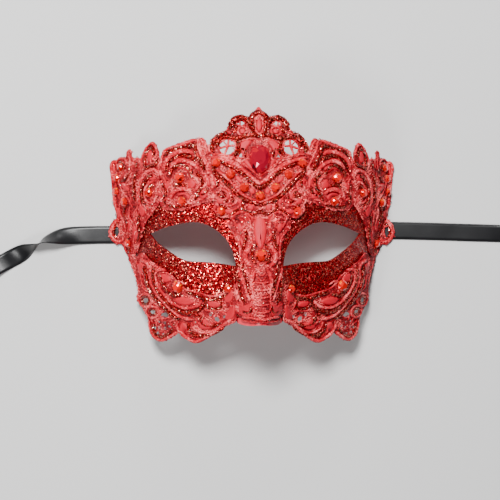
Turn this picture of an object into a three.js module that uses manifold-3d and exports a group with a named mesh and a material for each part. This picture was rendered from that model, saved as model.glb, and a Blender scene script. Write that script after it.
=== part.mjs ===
// Venetian masquerade mask: a moulded half mask that lies face up, with stiffened lace pieces glued over
// its glittered face, a lace crown, flat-back stones, and a satin ribbon tie at each temple.
// Millimetres. +X to the right of a viewer who looks down on the face, +Y towards the crown, +Z out of the
// face. Z = 0 is the flat surface that the mask lies on, and X = 0 is its mirror plane.
import * as THREE from 'three';
import { mergeVertices } from 'three/addons/utils/BufferGeometryUtils.js';
import Module from 'manifold-3d';

const wasm = await Module();
wasm.setup();

// ---- driving dimensions ----

// The face form: a curved sheet over the wearer's face, given as a height above the surface it lies on.
const FACE_RISE = 51;                // height of the form on the mirror plane, before the nose
const FACE_HALF_WIDTH = 78.5;        // half width of the form at forehead level
const TEMPLE_TAPER = 7;              // how much narrower the form gets from forehead to cheek
const TAPER_FROM = 20;               // Y where the taper begins
const TAPER_SPAN = 40;               // length of the taper along Y
const SIDE_BEND = { half: 80, drop: 72, straightFrom: 70.6 };    // cross-section ellipse, then its tangent
const BROW_BOW = { centre: 5, radius: 200 };                     // gentle bow from crown to nose
const NOSE = { rise: 20, from: 8, span: 58, narrow: 10, flare: 3 };
const SOCKET = { depth: 4, x: 36, y: -9, width: 25, height: 14 };

// Layers, measured along the form's normal from the shell's outer face.
const SHELL_WALL = 1.2;
const BACKING = { under: -0.9, over: 0.1 };
const LACE = { under: 0.6, over: 1.3 };
const LACE_FLOOR = 0.6;              // lace that reaches past the shell's edge flares out at this height
const STONE_SEAT = 1.75;             // underside of a stone that sits on lace
const RIBBON_LAYER = { under: -2.0, over: -1.6 };
const PATCH_LAYER = -2.5;
const FACET = { bow: 0.19, longest: 14 };    // how far a facet may stand off the form, and its longest edge

// Satin ribbon ties.
const RIBBON_WIDTH = 10;
const RIBBON_THICKNESS = 0.4;
const RIBBON_HEIGHT = 0.3;           // height of the ribbon's middle where it lies on the surface
const COIL = { inner: 19.5, outer: 32, height: 10.4, sides: 24 };
const NOTCH = { height: 1.2, spare: 1.6 };
const TIE_Y = { right: -2.4, left: -5 };         // where each ribbon crosses the shell's edge
const FOLD_X = { right: 74.2, left: -73.4 };     // where each ribbon folds under the edge

// ---- the face form ----

const smoothStep = (t) => {
  const c = Math.min(Math.max(t, 0), 1);
  return c * c * (3 - 2 * c);
};

function edgeHalfWidth(y) {
  return FACE_HALF_WIDTH - TEMPLE_TAPER * smoothStep((TAPER_FROM - y) / TAPER_SPAN);
}

function sideDrop(spread) {
  const { half, drop, straightFrom } = SIDE_BEND;
  const s = Math.min(spread, straightFrom) / half;
  const root = Math.sqrt(1 - s * s);
  const tangent = (drop / half) * (s / root);
  return drop * (1 - root) + tangent * Math.max(spread - straightFrom, 0);
}

function shellHeight(x, y) {
  const spread = Math.abs(x) * FACE_HALF_WIDTH / edgeHalfWidth(y);
  const bow = (y - BROW_BOW.centre) ** 2 / (2 * BROW_BOW.radius);
  const along = smoothStep((NOSE.from - y) / NOSE.span);
  const noseWidth = NOSE.narrow + NOSE.flare * along;
  const nose = NOSE.rise * along * Math.exp(-((x / noseWidth) ** 2));
  const reachX = (Math.abs(x) - SOCKET.x) / SOCKET.width;
  const reachY = (y - SOCKET.y) / SOCKET.height;
  const socket = SOCKET.depth * Math.exp(-(reachX ** 2 + reachY ** 2));
  return FACE_RISE - sideDrop(spread) - bow + nose - socket;
}

// Lace follows the shell, and turns out flat just above the surface where it reaches past the shell's edge.
function laceHeight(x, y) {
  const lift = shellHeight(x, y) - LACE_FLOOR;
  return LACE_FLOOR + 0.5 * (lift + Math.hypot(lift, 1));
}

function normalOn(height, x, y) {
  const step = 0.2;
  const slopeX = (height(x + step, y) - height(x - step, y)) / (2 * step);
  const slopeY = (height(x, y + step) - height(x, y - step)) / (2 * step);
  return new THREE.Vector3(-slopeX, -slopeY, 1).normalize();
}

function pointOn(height, x, y, offset) {
  return new THREE.Vector3(x, y, height(x, y)).addScaledVector(normalOn(height, x, y), offset);
}

// ---- flat outlines, drawn as seen from the front ----

const mirrored = (points) => points.map(([x, y]) => [-x, y]).reverse();

// Closes a right-hand half outline, which runs from the mirror plane back to it, with its own mirror image.
const symmetric = (half) => [...half, ...mirrored(half).filter(([x]) => x !== 0)];

// A closed outline with its corners eased, as evenly spaced points along a smooth curve.
function smoothLoop(points) {
  const curve = new THREE.CatmullRomCurve3(points.map(([x, y]) => new THREE.Vector3(x, y, 0)), true);
  return curve.getPoints(points.length).slice(0, -1).map((p) => [p.x, p.y]);
}

function ovalLoop(x, y, radiusX, radiusY, sides) {
  const angles = Array.from({ length: sides }, (_, i) => (2 * Math.PI * i) / sides);
  return angles.map((a) => [x + radiusX * Math.cos(a), y + radiusY * Math.sin(a)]);
}

// ---- a sheet that follows the form ----

const edgeKey = (a, b) => (a < b ? `${a}_${b}` : `${b}_${a}`);

function edgesOf(triangles) {
  const edges = new Map();
  triangles.forEach((triangle, t) => {
    triangle.forEach((a, i) => {
      const key = edgeKey(a, triangle[(i + 1) % 3]);
      if (!edges.has(key)) edges.set(key, []);
      edges.get(key).push(t);
    });
  });
  return edges;
}

// Turns an edge to the other diagonal of its two triangles where that makes them less sharp.
function flipSharpPairs(points, triangles) {
  const corner = (a, b, c) => {
    const u = points[a].clone().sub(points[c]);
    const v = points[b].clone().sub(points[c]);
    return Math.atan2(Math.abs(u.cross(v)), u.dot(v));
  };
  const cross = (a, b, c) => points[b].clone().sub(points[a]).cross(points[c].clone().sub(points[a]));
  const touched = new Set();
  for (const [key, [first, second]] of edgesOf(triangles)) {
    if (second === undefined || touched.has(first) || touched.has(second)) continue;
    const [a, b] = key.split('_').map(Number);
    const c = triangles[first].find((v) => v !== a && v !== b);
    const d = triangles[second].find((v) => v !== a && v !== b);
    const convex = cross(c, d, a) * cross(c, d, b) < 0;
    if (!convex || corner(a, b, c) + corner(a, b, d) <= Math.PI + 1e-6) continue;
    const turned = [[c, d, a], [d, c, b]].map((t) => (cross(...t) > 0 ? t : [t[0], t[2], t[1]]));
    [triangles[first], triangles[second]] = turned;
    touched.add(first);
    touched.add(second);
  }
  return touched.size > 0;
}

// Cuts every edge that the form bows away from, or that is too long, at its middle.
function splitBowedEdges(points, triangles, height) {
  const middles = new Map();
  for (const key of edgesOf(triangles).keys()) {
    const [a, b] = key.split('_').map((i) => points[Number(i)]);
    const middle = a.clone().add(b).multiplyScalar(0.5);
    const chord = (height(a.x, a.y) + height(b.x, b.y)) / 2;
    const steep = normalOn(height, middle.x, middle.y).z;
    const away = Math.abs(height(middle.x, middle.y) - chord) * steep;
    const length = Math.hypot(a.distanceTo(b), height(a.x, a.y) - height(b.x, b.y));
    if (away > FACET.bow || length > FACET.longest) middles.set(key, points.push(middle) - 1);
  }
  const result = [];
  for (const [a, b, c] of triangles) {
    const [ab, bc, ca] = [edgeKey(a, b), edgeKey(b, c), edgeKey(c, a)].map((key) => middles.get(key));
    const ring = [a, ab, b, bc, c, ca].filter((v) => v !== undefined);
    if (ring.length === 6) result.push([a, ab, ca], [b, bc, ab], [c, ca, bc], [ab, bc, ca]);
    else result.push(...fanOf(ring, [ab, bc, ca].find((v) => v !== undefined)));
  }
  triangles.splice(0, triangles.length, ...result);
  return middles.size > 0;
}

// Triangles from one corner of a ring to all its other edges.
function fanOf(ring, hub) {
  const start = hub === undefined ? 0 : ring.indexOf(hub);
  const turned = [...ring.slice(start), ...ring.slice(0, start)];
  return turned.slice(1, -1).map((v, i) => [turned[0], v, turned[i + 2]]);
}

// A closed sheet between two offsets from the form. Its outline and holes are given as seen from the front.
function sheet(outline, holes, { height = laceHeight, under, over }) {
  const loops = [outline, ...holes].map((loop) => loop.map(([x, y]) => new THREE.Vector2(x, y)));
  if (THREE.ShapeUtils.isClockWise(loops[0])) loops[0].reverse();
  loops.slice(1).forEach((loop) => {
    if (!THREE.ShapeUtils.isClockWise(loop)) loop.reverse();
  });
  const points = loops.flat();
  const triangles = THREE.ShapeUtils.triangulateShape(loops[0], loops.slice(1));
  const settle = () => {
    for (let pass = 0; pass < 40 && flipSharpPairs(points, triangles); pass += 1);
  };
  settle();
  for (let round = 0; round < 6; round += 1) {
    if (!splitBowedEdges(points, triangles, height)) break;
    settle();
  }

  const count = points.length;
  const positions = [over, under].flatMap((offset) => points.flatMap((p) => (
    pointOn(height, p.x, p.y, offset).toArray()
  )));
  const index = triangles.flatMap(([a, b, c]) => [a, b, c, a + count, c + count, b + count]);
  const sideEdges = edgesOf(triangles);
  for (const triangle of triangles) {
    triangle.forEach((a, i) => {
      const b = triangle[(i + 1) % 3];
      if (sideEdges.get(edgeKey(a, b)).length > 1) return;
      index.push(a, a + count, b, b, a + count, b + count);
    });
  }
  const geometry = new THREE.BufferGeometry();
  geometry.setAttribute('position', new THREE.Float32BufferAttribute(positions, 3));
  geometry.setIndex(index);
  geometry.computeVertexNormals();
  return geometry;
}

// ---- joining and cutting ----

function toSolid(geometry) {
  const bare = geometry.clone();
  bare.deleteAttribute('normal');
  bare.deleteAttribute('uv');
  const merged = mergeVertices(bare, 1e-5);
  return new wasm.Manifold(new wasm.Mesh({
    numProp: 3,
    vertProperties: new Float32Array(merged.attributes.position.array),
    triVerts: new Uint32Array(merged.index.array),
  }));
}

function toGeometry(solid) {
  const mesh = solid.getMesh();
  const geometry = new THREE.BufferGeometry();
  geometry.setAttribute('position', new THREE.Float32BufferAttribute(mesh.vertProperties, 3));
  geometry.setIndex(new THREE.BufferAttribute(mesh.triVerts, 1));
  geometry.computeVertexNormals();
  return geometry;
}

function block(lowX, lowY, lowZ, highX, highY, highZ) {
  const box = new THREE.BoxGeometry(highX - lowX, highY - lowY, highZ - lowZ);
  return box.translate((lowX + highX) / 2, (lowY + highY) / 2, (lowZ + highZ) / 2);
}

// ---- materials ----

const material = (color, roughness, metalness = 0) => (
  new THREE.MeshStandardMaterial({ color, roughness, metalness })
);
const COLOURS = {
  shell: material(0xc42a2e, 0.45),
  backing: material(0xe05660, 0.5),
  lace: material(0xd9535f, 0.8),
  stone: material(0xf02a12, 0.08),
  ruby: material(0xa8061c, 0.05),
  felt: material(0x2b1013, 0.95),
  satin: material(0x0b0b0d, 0.35),
};

// ---- the pieces ----

const mask = new THREE.Group();

function add(name, geometry, finish) {
  const mesh = new THREE.Mesh(geometry, finish.clone());
  mesh.name = name;
  mask.add(mesh);
  return mesh;
}

const SIDES = [['right', 1], ['left', -1]];
const onSide = (loop, side) => (side > 0 ? loop : mirrored(loop));

// Moulded shell: eye holes, and its temple edges cut flat where they stand on the surface.
const SHELL_OUTLINE = symmetric([
  [0, -53.7], [6, -54.2], [11, -53.4], [14.5, -50.5], [21, -46.5], [29, -45.6], [38, -47.6], [45, -45.4],
  [52, -39.5], [57.5, -33], [63, -28.5], [67.4, -20.5], [73, -14.5], [78, -6], [80.5, 5], [82, 20],
  [80.5, 30.5], [76, 34.6], [69, 35.2], [61, 35.6], [52, 37.4], [41, 42.6], [33.6, 45.2], [30.6, 44.4],
  [28.4, 39.6], [24.6, 36.2], [18, 34.6], [10, 30.2], [5, 25.8], [0, 23],
]);
const UPPER_LID = [
  [12.9, -22.3], [13.6, -17.5], [15.2, -12.3], [18, -7.8], [21.9, -3.9], [26.7, -0.6], [31.5, 1.2],
  [37, 1.6], [45.2, 0.3], [52.5, -2], [59.2, -4.6],
];
const LOWER_LID = [[55.5, -9.4], [50.3, -13.3], [43.4, -17.7], [38.3, -19.6], [28.1, -20.2], [20.3, -21]];
const eyeHole = [...UPPER_LID, ...LOWER_LID];
const shellSheet = sheet(smoothLoop(SHELL_OUTLINE), SIDES.map(([, side]) => onSide(eyeHole, side)), {
  height: shellHeight, under: -SHELL_WALL, over: 0,
});
let shell = toSolid(shellSheet).subtract(toSolid(block(-100, -100, -60, 100, 100, 0)));
for (const [name, side] of SIDES) {
  const reach = RIBBON_WIDTH / 2 + NOTCH.spare;
  const outward = [side * 66, side * 86].sort((a, b) => a - b);
  const low = TIE_Y[name] - reach;
  const high = TIE_Y[name] + reach;
  shell = shell.subtract(toSolid(block(outward[0], low, -5, outward[1], high, NOTCH.height)));
}
add('base_shell', toGeometry(shell), COLOURS.shell);

// Stiff petal-shaped backing behind the crown, in line with the shell above its dipped top edge.
const CROWN_WINDOWS = [
  ovalLoop(17.2, 42, 4.6, 4.5, 10),
  ovalLoop(9.8, 55, 2.3, 1.6, 8),
  [[8.3, 36.1], [12.2, 35.9], [9.8, 39.4]],
];
const windows = [...CROWN_WINDOWS, ...CROWN_WINDOWS.map(mirrored)];
const BACKING_OUTLINE = symmetric([
  [0, 24.2], [4.6, 26.9], [9.6, 31.3], [17.8, 35.6], [24, 37.3], [25.4, 41], [25, 45.4], [23.4, 49.2],
  [19.6, 50.4], [14, 55.4], [8.4, 57.6], [3.4, 60.6], [0, 64.6],
]);
const backing = sheet(BACKING_OUTLINE, windows, { height: shellHeight, ...BACKING });
add('crown_backing', backing, COLOURS.backing);

// Lace pieces that stand across the mirror plane.
const CENTRE_LACE = {
  crown_lace: [
    [0, 25.7], [4.5, 28.6], [9.2, 32.9], [13.8, 35.4], [18.2, 36.9], [23, 38.2], [25.8, 38.6], [26.4, 41.6],
    [25.6, 45], [23.6, 47.6], [20.2, 49.6], [17, 51.4], [15.8, 54.6], [13.6, 57.6], [9.9, 59], [6.2, 58.2],
    [4.6, 58.8], [2.8, 60.9], [0, 61.9],
  ],
  forehead_lace: [
    [0, 2.6], [8, 3], [16, 4.2], [22, 7.6], [24.6, 13], [24.8, 24], [27.4, 31], [30, 36.6], [32.4, 43],
    [32.3, 46.8], [30.4, 47], [28.4, 44.6], [27.3, 41.4], [26.6, 37.8], [23.2, 37.4], [18.6, 36],
    [14.2, 34.6], [9.8, 32], [5, 27.6], [0, 24.7],
  ],
  nose_lace: [
    [0, -51.6], [6, -51.8], [9.6, -50.6], [11.2, -46], [11.2, -39], [11.4, -31], [9.8, -25], [9.4, -18],
    [10.6, -12], [13.4, -5], [17, 1], [14, 2.2], [7, 1.8], [0, 1.7],
  ],
};
for (const [name, half] of Object.entries(CENTRE_LACE)) {
  const holes = name === 'crown_lace' ? windows : [];
  add(name, sheet(symmetric(half), holes, LACE), COLOURS.lace);
}

// Lace pieces that come in mirrored pairs.
const PAIRED_LACE = {
  brow_lace: {
    outline: [
      [25.5, 13], [31, 11.8], [38, 9.4], [46, 8.8], [52.2, 11], [52.2, 24], [52.2, 37.4], [46, 42.8],
      [38, 45.8], [33.3, 46.8], [33.2, 42.8], [30.8, 36.4], [28.2, 30.8], [25.6, 24],
    ],
    holes: [],
  },
  temple_lace: {
    outline: [
      [53.2, 12.4], [57, 8], [61, 2], [63, -6], [65, -13], [67, -16.4], [71.6, -15.4], [73.4, -10.4],
      [78, -9.4], [81, -6], [81.2, -2], [79.5, 2.2], [76.8, 4.6], [77.4, 8], [79, 14], [79.6, 21],
      [80.4, 29], [81, 34.2], [79.4, 36.8], [76.6, 37], [74, 38.4], [71.4, 38.2], [70.4, 42], [68.8, 42],
      [67.8, 37.2], [62.4, 37.4], [58.6, 44.6], [56.3, 45.6], [54.4, 42], [53.2, 37.4], [53.2, 24],
    ],
    holes: [ovalLoop(77.2, -3.2, 1.3, 3.4, 8)],
  },
  cheek_lace: {
    outline: [
      [66.2, -17.6], [70.6, -17], [68.2, -21.6], [65.6, -29], [64.2, -35], [64.9, -41], [62, -45.6],
      [60.4, -48.6], [58.8, -51.6], [58.2, -55.6], [57.2, -60], [54.4, -63.2], [50.5, -63.8], [45.5, -60.8],
      [41.4, -58.4], [38.5, -62], [33, -64.3], [27.5, -61.5], [21, -56.8], [16, -53.6], [12.3, -51.4],
      [12.2, -46], [12.3, -38], [12.6, -31.6], [16, -36], [24, -38.5], [31.5, -37], [40, -34.5], [46, -28.5],
      [51, -25], [57, -20], [62, -15.8],
    ],
    holes: [
      ovalLoop(60, -41.5, 2.2, 2.2, 8), ovalLoop(56.2, -47.9, 1.8, 1.8, 8), ovalLoop(22.1, -51, 1.9, 1.9, 8),
      ovalLoop(18.3, -49.6, 1.1, 1.5, 6), ovalLoop(25.6, -48.6, 1.2, 1.2, 6),
      [[49.4, -46.6], [52.4, -49.6], [49.6, -51.4], [46.6, -48.8]],
    ],
  },
};
for (const [name, { outline, holes }] of Object.entries(PAIRED_LACE)) {
  for (const [sideName, side] of SIDES) {
    const geometry = sheet(onSide(outline, side), holes.map((loop) => onSide(loop, side)), LACE);
    add(`${name}_${sideName}`, geometry, COLOURS.lace);
  }
}

// A flat-back stone: a flat foot, a short girdle, and a bevelled crown up to a flat table.
function stoneGeometry(diameter, facets) {
  const radius = diameter / 2;
  const girdle = 0.16 * diameter;
  const top = 0.4 * diameter;
  const profile = [[0, 0], [radius, 0], [radius, girdle], [0.55 * radius, top], [0, top]];
  const lathe = new THREE.LatheGeometry(profile.map(([x, y]) => new THREE.Vector2(x, y)), facets);
  return lathe.rotateX(Math.PI / 2);
}

// Seats a stone on the lace with its foot square to the form.
function seat(geometry, x, y, offset) {
  const turn = new THREE.Quaternion().setFromUnitVectors(
    new THREE.Vector3(0, 0, 1),
    normalOn(laceHeight, x, y),
  );
  const at = pointOn(laceHeight, x, y, offset);
  return geometry.applyQuaternion(turn).translate(at.x, at.y, at.z);
}

const CROWN_STONE = { y: 35.4, width: 11.5, height: 15.2 };
const crownStone = stoneGeometry(CROWN_STONE.width, 12).scale(1, CROWN_STONE.height / CROWN_STONE.width, 1);
add('crown_stone', seat(crownStone, 0, CROWN_STONE.y, STONE_SEAT), COLOURS.ruby);

// Round stones: place on the form and diameter. Those of the pairs stand on both sides.
const CENTRE_STONES = { brow_stone_centre: [15.4, 5], nose_stone: [-17.3, 6.5] };
const PAIRED_STONES = {
  crown_foot_stone: [23.2, 33.4, 5],
  band_stone: [15.6, 27.2, 5],
  forehead_stone: [8.3, 20, 5],
  bridge_stone: [20.4, 7.3, 5],
  brow_stone: [41, 13, 5],
  brow_scroll_stone: [42.3, 25.7, 6],
  temple_scroll_stone: [58.4, 18, 5],
  temple_stone: [71.4, 13.5, 5],
  temple_edge_stone_top: [73.8, 33, 4.5],
  temple_edge_stone_middle: [75.8, 27, 4.5],
  temple_edge_stone_low: [76.2, 19.5, 4.5],
  tie_stone: [69.4, -9.5, 4.5],
  cheek_stone: [46, -33, 6.5],
  nostril_stone: [16, -34.6, 4.5],
};
const HAND_SET = { cheek_stone_left: [42.8, -33.6] };            // glued on a little nearer the nose
for (const [name, [y, diameter]] of Object.entries(CENTRE_STONES)) {
  add(name, seat(stoneGeometry(diameter, 8), 0, y, STONE_SEAT + 0.35), COLOURS.stone);
}
for (const [name, [x, y, diameter]] of Object.entries(PAIRED_STONES)) {
  for (const [sideName, side] of SIDES) {
    const [across, along] = HAND_SET[`${name}_${sideName}`] ?? [x, y];
    const stone = seat(stoneGeometry(diameter, 8), side * across, along, STONE_SEAT);
    add(`${name}_${sideName}`, stone, COLOURS.stone);
  }
}

// ---- the ribbon ties ----

// Each ribbon's sewn-in end runs down the inside of the temple, under a glued felt patch.
const RIBBON_END = { near: 3.6, far: 9.4 };                      // distances inwards from the fold
const PATCH = { width: 9, length: 16, thickness: 0.8, inward: 4.8, corner: 2 };

function roundedPlate(width, length, thickness, corner) {
  const [w, l] = [width / 2 - corner, length / 2 - corner];
  const shape = new THREE.Shape();
  [[w, l, 0], [-w, l, 1], [-w, -l, 2], [w, -l, 3]].forEach(([x, y, quarter]) => {
    shape.absarc(x, y, corner, (quarter * Math.PI) / 2, ((quarter + 1) * Math.PI) / 2, false);
  });
  return new THREE.ExtrudeGeometry(shape, { depth: thickness, bevelEnabled: false, curveSegments: 3 });
}

for (const [name, side] of SIDES) {
  const y = TIE_Y[name];
  const half = RIBBON_WIDTH / 2;
  const near = side * (Math.abs(FOLD_X[name]) - RIBBON_END.near);
  const far = side * (Math.abs(FOLD_X[name]) - RIBBON_END.far);
  const strip = [[far, y - half], [near, y - half], [near, y + half], [far, y + half]];
  add(`ribbon_end_${name}`, sheet(strip, [], { height: shellHeight, ...RIBBON_LAYER }), COLOURS.satin);

  const patchX = FOLD_X[name] - side * PATCH.inward;
  const inward = normalOn(shellHeight, patchX, y).negate();
  const turn = new THREE.Quaternion().setFromUnitVectors(new THREE.Vector3(0, 0, 1), inward);
  const at = pointOn(shellHeight, patchX, y, PATCH_LAYER);
  const plate = roundedPlate(PATCH.width, PATCH.length, PATCH.thickness, PATCH.corner);
  add(`ribbon_patch_${name}`, plate.applyQuaternion(turn).translate(at.x, at.y, at.z), COLOURS.felt);
}

// The free ribbon lies flat from the fold under the shell's edge to its coil, which stands on edge.
const RIBBON_ROUTES = {
  right: [
    [74.6, -2.4], [82, -2.4], [92, -2.6], [102, -2.8], [112, -3.1], [122, -3.4], [132, -3.7], [142, -4],
    [151, -4.3], [158.4, -4.5],
  ],
  left: [
    [-73.8, -5], [-82, -5], [-92, -5.1], [-102, -5.4], [-110, -6], [-118, -7.6], [-126, -11], [-133, -15.1],
    [-140, -19.4], [-145, -22.5],
  ],
};
const COIL_CENTRES = { right: [179, 27.3], left: [-179.5, -8] };

// A thin strip's section with rounded long edges: thickness across the curve, width along it.
function ribbonSection() {
  const [t, w] = [RIBBON_THICKNESS / 2, RIBBON_WIDTH / 2];
  const corners = [
    [t, w - t], [t / 2, w], [-t / 2, w], [-t, w - t], [-t, t - w], [-t / 2, -w], [t / 2, -w], [t, t - w],
  ];
  return new THREE.Shape(corners.map(([x, y]) => new THREE.Vector2(x, y)));
}

for (const [name] of SIDES) {
  const route = RIBBON_ROUTES[name].map(([x, y]) => new THREE.Vector3(x, y, RIBBON_HEIGHT));
  const path = new THREE.CatmullRomCurve3(route, false, 'centripetal');
  const strip = new THREE.ExtrudeGeometry(ribbonSection(), { extrudePath: path, steps: 12 });
  add(`ribbon_${name}`, strip, COLOURS.satin);

  const wall = [
    [COIL.inner, 0], [COIL.outer, 0], [COIL.outer, COIL.height], [COIL.inner, COIL.height], [COIL.inner, 0],
  ];
  const ring = new THREE.LatheGeometry(wall.map(([r, z]) => new THREE.Vector2(r, z)), COIL.sides);
  ring.rotateX(Math.PI / 2).translate(...COIL_CENTRES[name], 0);
  add(`ribbon_coil_${name}`, ring, COLOURS.satin);
}

export default mask;
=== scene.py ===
import bpy
import numpy as np
from mathutils import Matrix, Vector


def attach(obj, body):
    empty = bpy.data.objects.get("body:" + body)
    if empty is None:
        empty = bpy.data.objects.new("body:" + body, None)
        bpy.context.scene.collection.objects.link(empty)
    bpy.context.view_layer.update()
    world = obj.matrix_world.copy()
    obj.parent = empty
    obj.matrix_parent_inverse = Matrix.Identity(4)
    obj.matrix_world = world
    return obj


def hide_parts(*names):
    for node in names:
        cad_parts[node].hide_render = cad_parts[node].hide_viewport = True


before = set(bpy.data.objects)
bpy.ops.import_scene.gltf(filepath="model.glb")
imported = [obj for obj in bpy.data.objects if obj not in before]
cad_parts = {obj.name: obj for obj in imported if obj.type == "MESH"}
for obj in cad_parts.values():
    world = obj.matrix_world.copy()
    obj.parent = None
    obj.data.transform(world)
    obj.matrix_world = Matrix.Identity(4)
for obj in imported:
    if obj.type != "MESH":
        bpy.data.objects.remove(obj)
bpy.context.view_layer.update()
bpy.ops.object.select_all(action="DESELECT")


# ---- camera ----
# A long lens looks down on the mask from a little to the left of its middle, with the crown at the top.

camera_data = bpy.data.cameras.new("camera")
camera_data.lens = 113.2
camera = bpy.data.objects.new("camera", camera_data)
bpy.context.collection.objects.link(camera)
camera_place = Vector((-0.0705, -0.0136, 0.897))
camera_target = Vector((-0.0014, -0.0136, 0.0))
backwards = (camera_place - camera_target).normalized()
rightwards = Vector((0, 1, 0)).cross(backwards).normalized()
upwards = backwards.cross(rightwards)
turn = Matrix((rightwards, upwards, backwards)).transposed().to_4x4()
camera.matrix_world = Matrix.Translation(camera_place) @ turn
bpy.context.scene.camera = camera


# ---- satin ties ----
# Two black satin ribbons, 10 mm wide and 450 mm long, which leave the mask under its temple edges. Each
# lies flat on the table, twists onto its edge, and is wound into a loose coil for storage.

MM = 0.001
RIBBON_WIDTH = 10.0
RIBBON_LENGTH = 450.0
RIBBON_THICKNESS = 0.35
RIBBON_LIES_AT = 0.3
COIL_RADIUS = 31.0
COIL_TURN_GAP = 4.5
COIL_STEP = np.radians(20)

# Knots of each ribbon's middle line: x, y, and its twist in degrees, from 0 lying flat to 90 on edge.
RIBBON_KNOTS = {
    "right": [
        (74.6, -2.4, 0), (82, -2.4, 0), (92, -2.6, 1), (102, -2.8, 2), (112, -3.1, 1), (122, -3.4, -1),
        (132, -3.7, 0), (142, -4, 3), (150, -4.3, 14), (158.4, -4.5, 40), (165, -4.5, 66), (172, -4.1, 84),
    ],
    "left": [
        (-73.8, -5, 0), (-82, -5, -1), (-92, -5.1, 1), (-100, -5.3, 6), (-107, -5.8, 22), (-113, -6.7, 48),
        (-118, -8, 72), (-121.6, -10.2, 92), (-125.5, -12.4, 118), (-129.5, -14.6, 150), (-134, -17, 172),
        (-140, -20.2, 182), (-145, -23, 190), (-151, -26.4, 214), (-157, -30.4, 244),
    ],
}
COILS = {
    "right": {"centre": (179, 27.3), "from": np.radians(-90), "way": 1, "twist": 90},
    "left": {"centre": (-179.5, -8), "from": np.radians(-58.9), "way": -1, "twist": 270},
}


def along(knots, step, closed=False):
    """Places one step apart on a smooth line through the knots; a knot given twice is a sharp corner."""
    knots = np.array(knots, float)
    doubled = np.all(knots == np.roll(knots, -1, axis=0), axis=1)
    corner = np.roll(doubled, 1)[~doubled]
    knots = knots[~doubled]
    if closed:
        slope = (np.roll(knots, -1, axis=0) - np.roll(knots, 1, axis=0)) / 2
        ends = np.roll(knots, -1, axis=0), np.roll(slope * ~corner[:, None], -1, axis=0)
    else:
        slope = np.gradient(knots, axis=0)
        ends = knots[1:], (slope * ~corner[:, None])[1:]
    slope = slope * ~corner[:, None]
    t = np.linspace(0, 1, 12, endpoint=False)[:, None]
    spans = [
        (2 * t**3 - 3 * t**2 + 1) * a + (t**3 - 2 * t**2 + t) * leave + (3 * t**2 - 2 * t**3) * b
        + (t**3 - t**2) * arrive
        for a, leave, b, arrive in zip(knots, slope, *ends)
    ]
    line = np.vstack([*spans, knots[0] if closed else knots[-1]])
    run = np.r_[0, np.cumsum(np.linalg.norm(np.diff(line[:, :2], axis=0), axis=1))]
    count = max(round(run[-1] / step), 3)
    places = np.linspace(0, run[-1], count + 1)[: count if closed else count + 1]
    return np.column_stack([np.interp(places, run, column) for column in line.T])


class Wire:
    """One output of a material node. Arithmetic on it adds Math nodes."""

    def __init__(self, finish, socket):
        self.finish = finish
        self.socket = socket

    def maths(self, operation, *terms):
        return self.finish.node("Math", {"operation": operation}, dict(enumerate(terms)))

    def __add__(self, other):
        return self.maths("ADD", self, other)

    def __sub__(self, other):
        return self.maths("SUBTRACT", self, other)

    def __rsub__(self, other):
        return self.maths("SUBTRACT", other, self)

    def __mul__(self, other):
        return self.maths("MULTIPLY", self, other)

    def __gt__(self, other):
        return self.maths("GREATER_THAN", self, other)

    def __pow__(self, other):
        return self.maths("POWER", self, other)

    __radd__ = __add__
    __rmul__ = __mul__


class Finish:
    """A surface finish: a material with its Principled shader, and the nodes that feed it."""

    def __init__(self, name, **constants):
        self.material = bpy.data.materials.new(name)
        self.material.use_nodes = True
        self.tree = self.material.node_tree
        self.shader = self.tree.nodes["Principled BSDF"]
        for socket, value in constants.items():
            self.feed(socket.replace("_", " "), value)

    def node(self, kind, settings=None, inputs=None, output=0):
        """Adds a node, sets it up, connects its inputs, and gives the output asked for."""
        made = self.tree.nodes.new("ShaderNode" + kind)
        for setting, value in (settings or {}).items():
            if setting == "stops":
                for place, (at, colour) in enumerate(value):
                    elements = made.color_ramp.elements
                    stop = elements[place] if place < len(elements) else elements.new(at)
                    stop.position = at
                    stop.color = (*colour, 1)
            else:
                setattr(made, setting, value)
        for socket, value in (inputs or {}).items():
            self.connect(made.inputs[socket], value)
        return Wire(self, made.outputs[output])

    def connect(self, socket, value):
        if isinstance(value, Wire):
            self.tree.links.new(value.socket, socket)
        elif socket.type == "RGBA" and len(value) == 3:
            socket.default_value = (*value, 1)
        else:
            socket.default_value = value

    def feed(self, socket, value):
        self.connect(self.shader.inputs[socket], value)

    def object_place(self):
        return self.node("TexCoord", output="Object")

    def attribute(self, name):
        return self.node("Attribute", {"attribute_name": name}, output="Fac")

    def ramp(self, value, low, high):
        """0 up to low, 1 from high, and even between them."""
        inputs = {"Value": value, "From Min": low, "From Max": high}
        return self.node("MapRange", inputs=inputs)

    def noise(self, scale, detail=2, place=None):
        place = place or self.object_place()
        return self.node("TexNoise", inputs={"Vector": place, "Scale": scale, "Detail": detail})

    def blend(self, amount, first, second):
        """Mixes two colours."""
        inputs = {"Factor": amount, "A": first, "B": second}
        mixer = self.tree.nodes.new("ShaderNodeMix")
        mixer.data_type = "RGBA"
        sockets = {"Factor": mixer.inputs[0], "A": mixer.inputs[6], "B": mixer.inputs[7]}
        for name, value in inputs.items():
            self.connect(sockets[name], value)
        return Wire(self, mixer.outputs[2])

    def emboss(self, height, strength, distance):
        """Feeds the shader a bump of the height, whose distance is in metres."""
        inputs = {"Height": height, "Strength": strength, "Distance": distance}
        self.feed("Normal", self.node("Bump", inputs=inputs))


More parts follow.
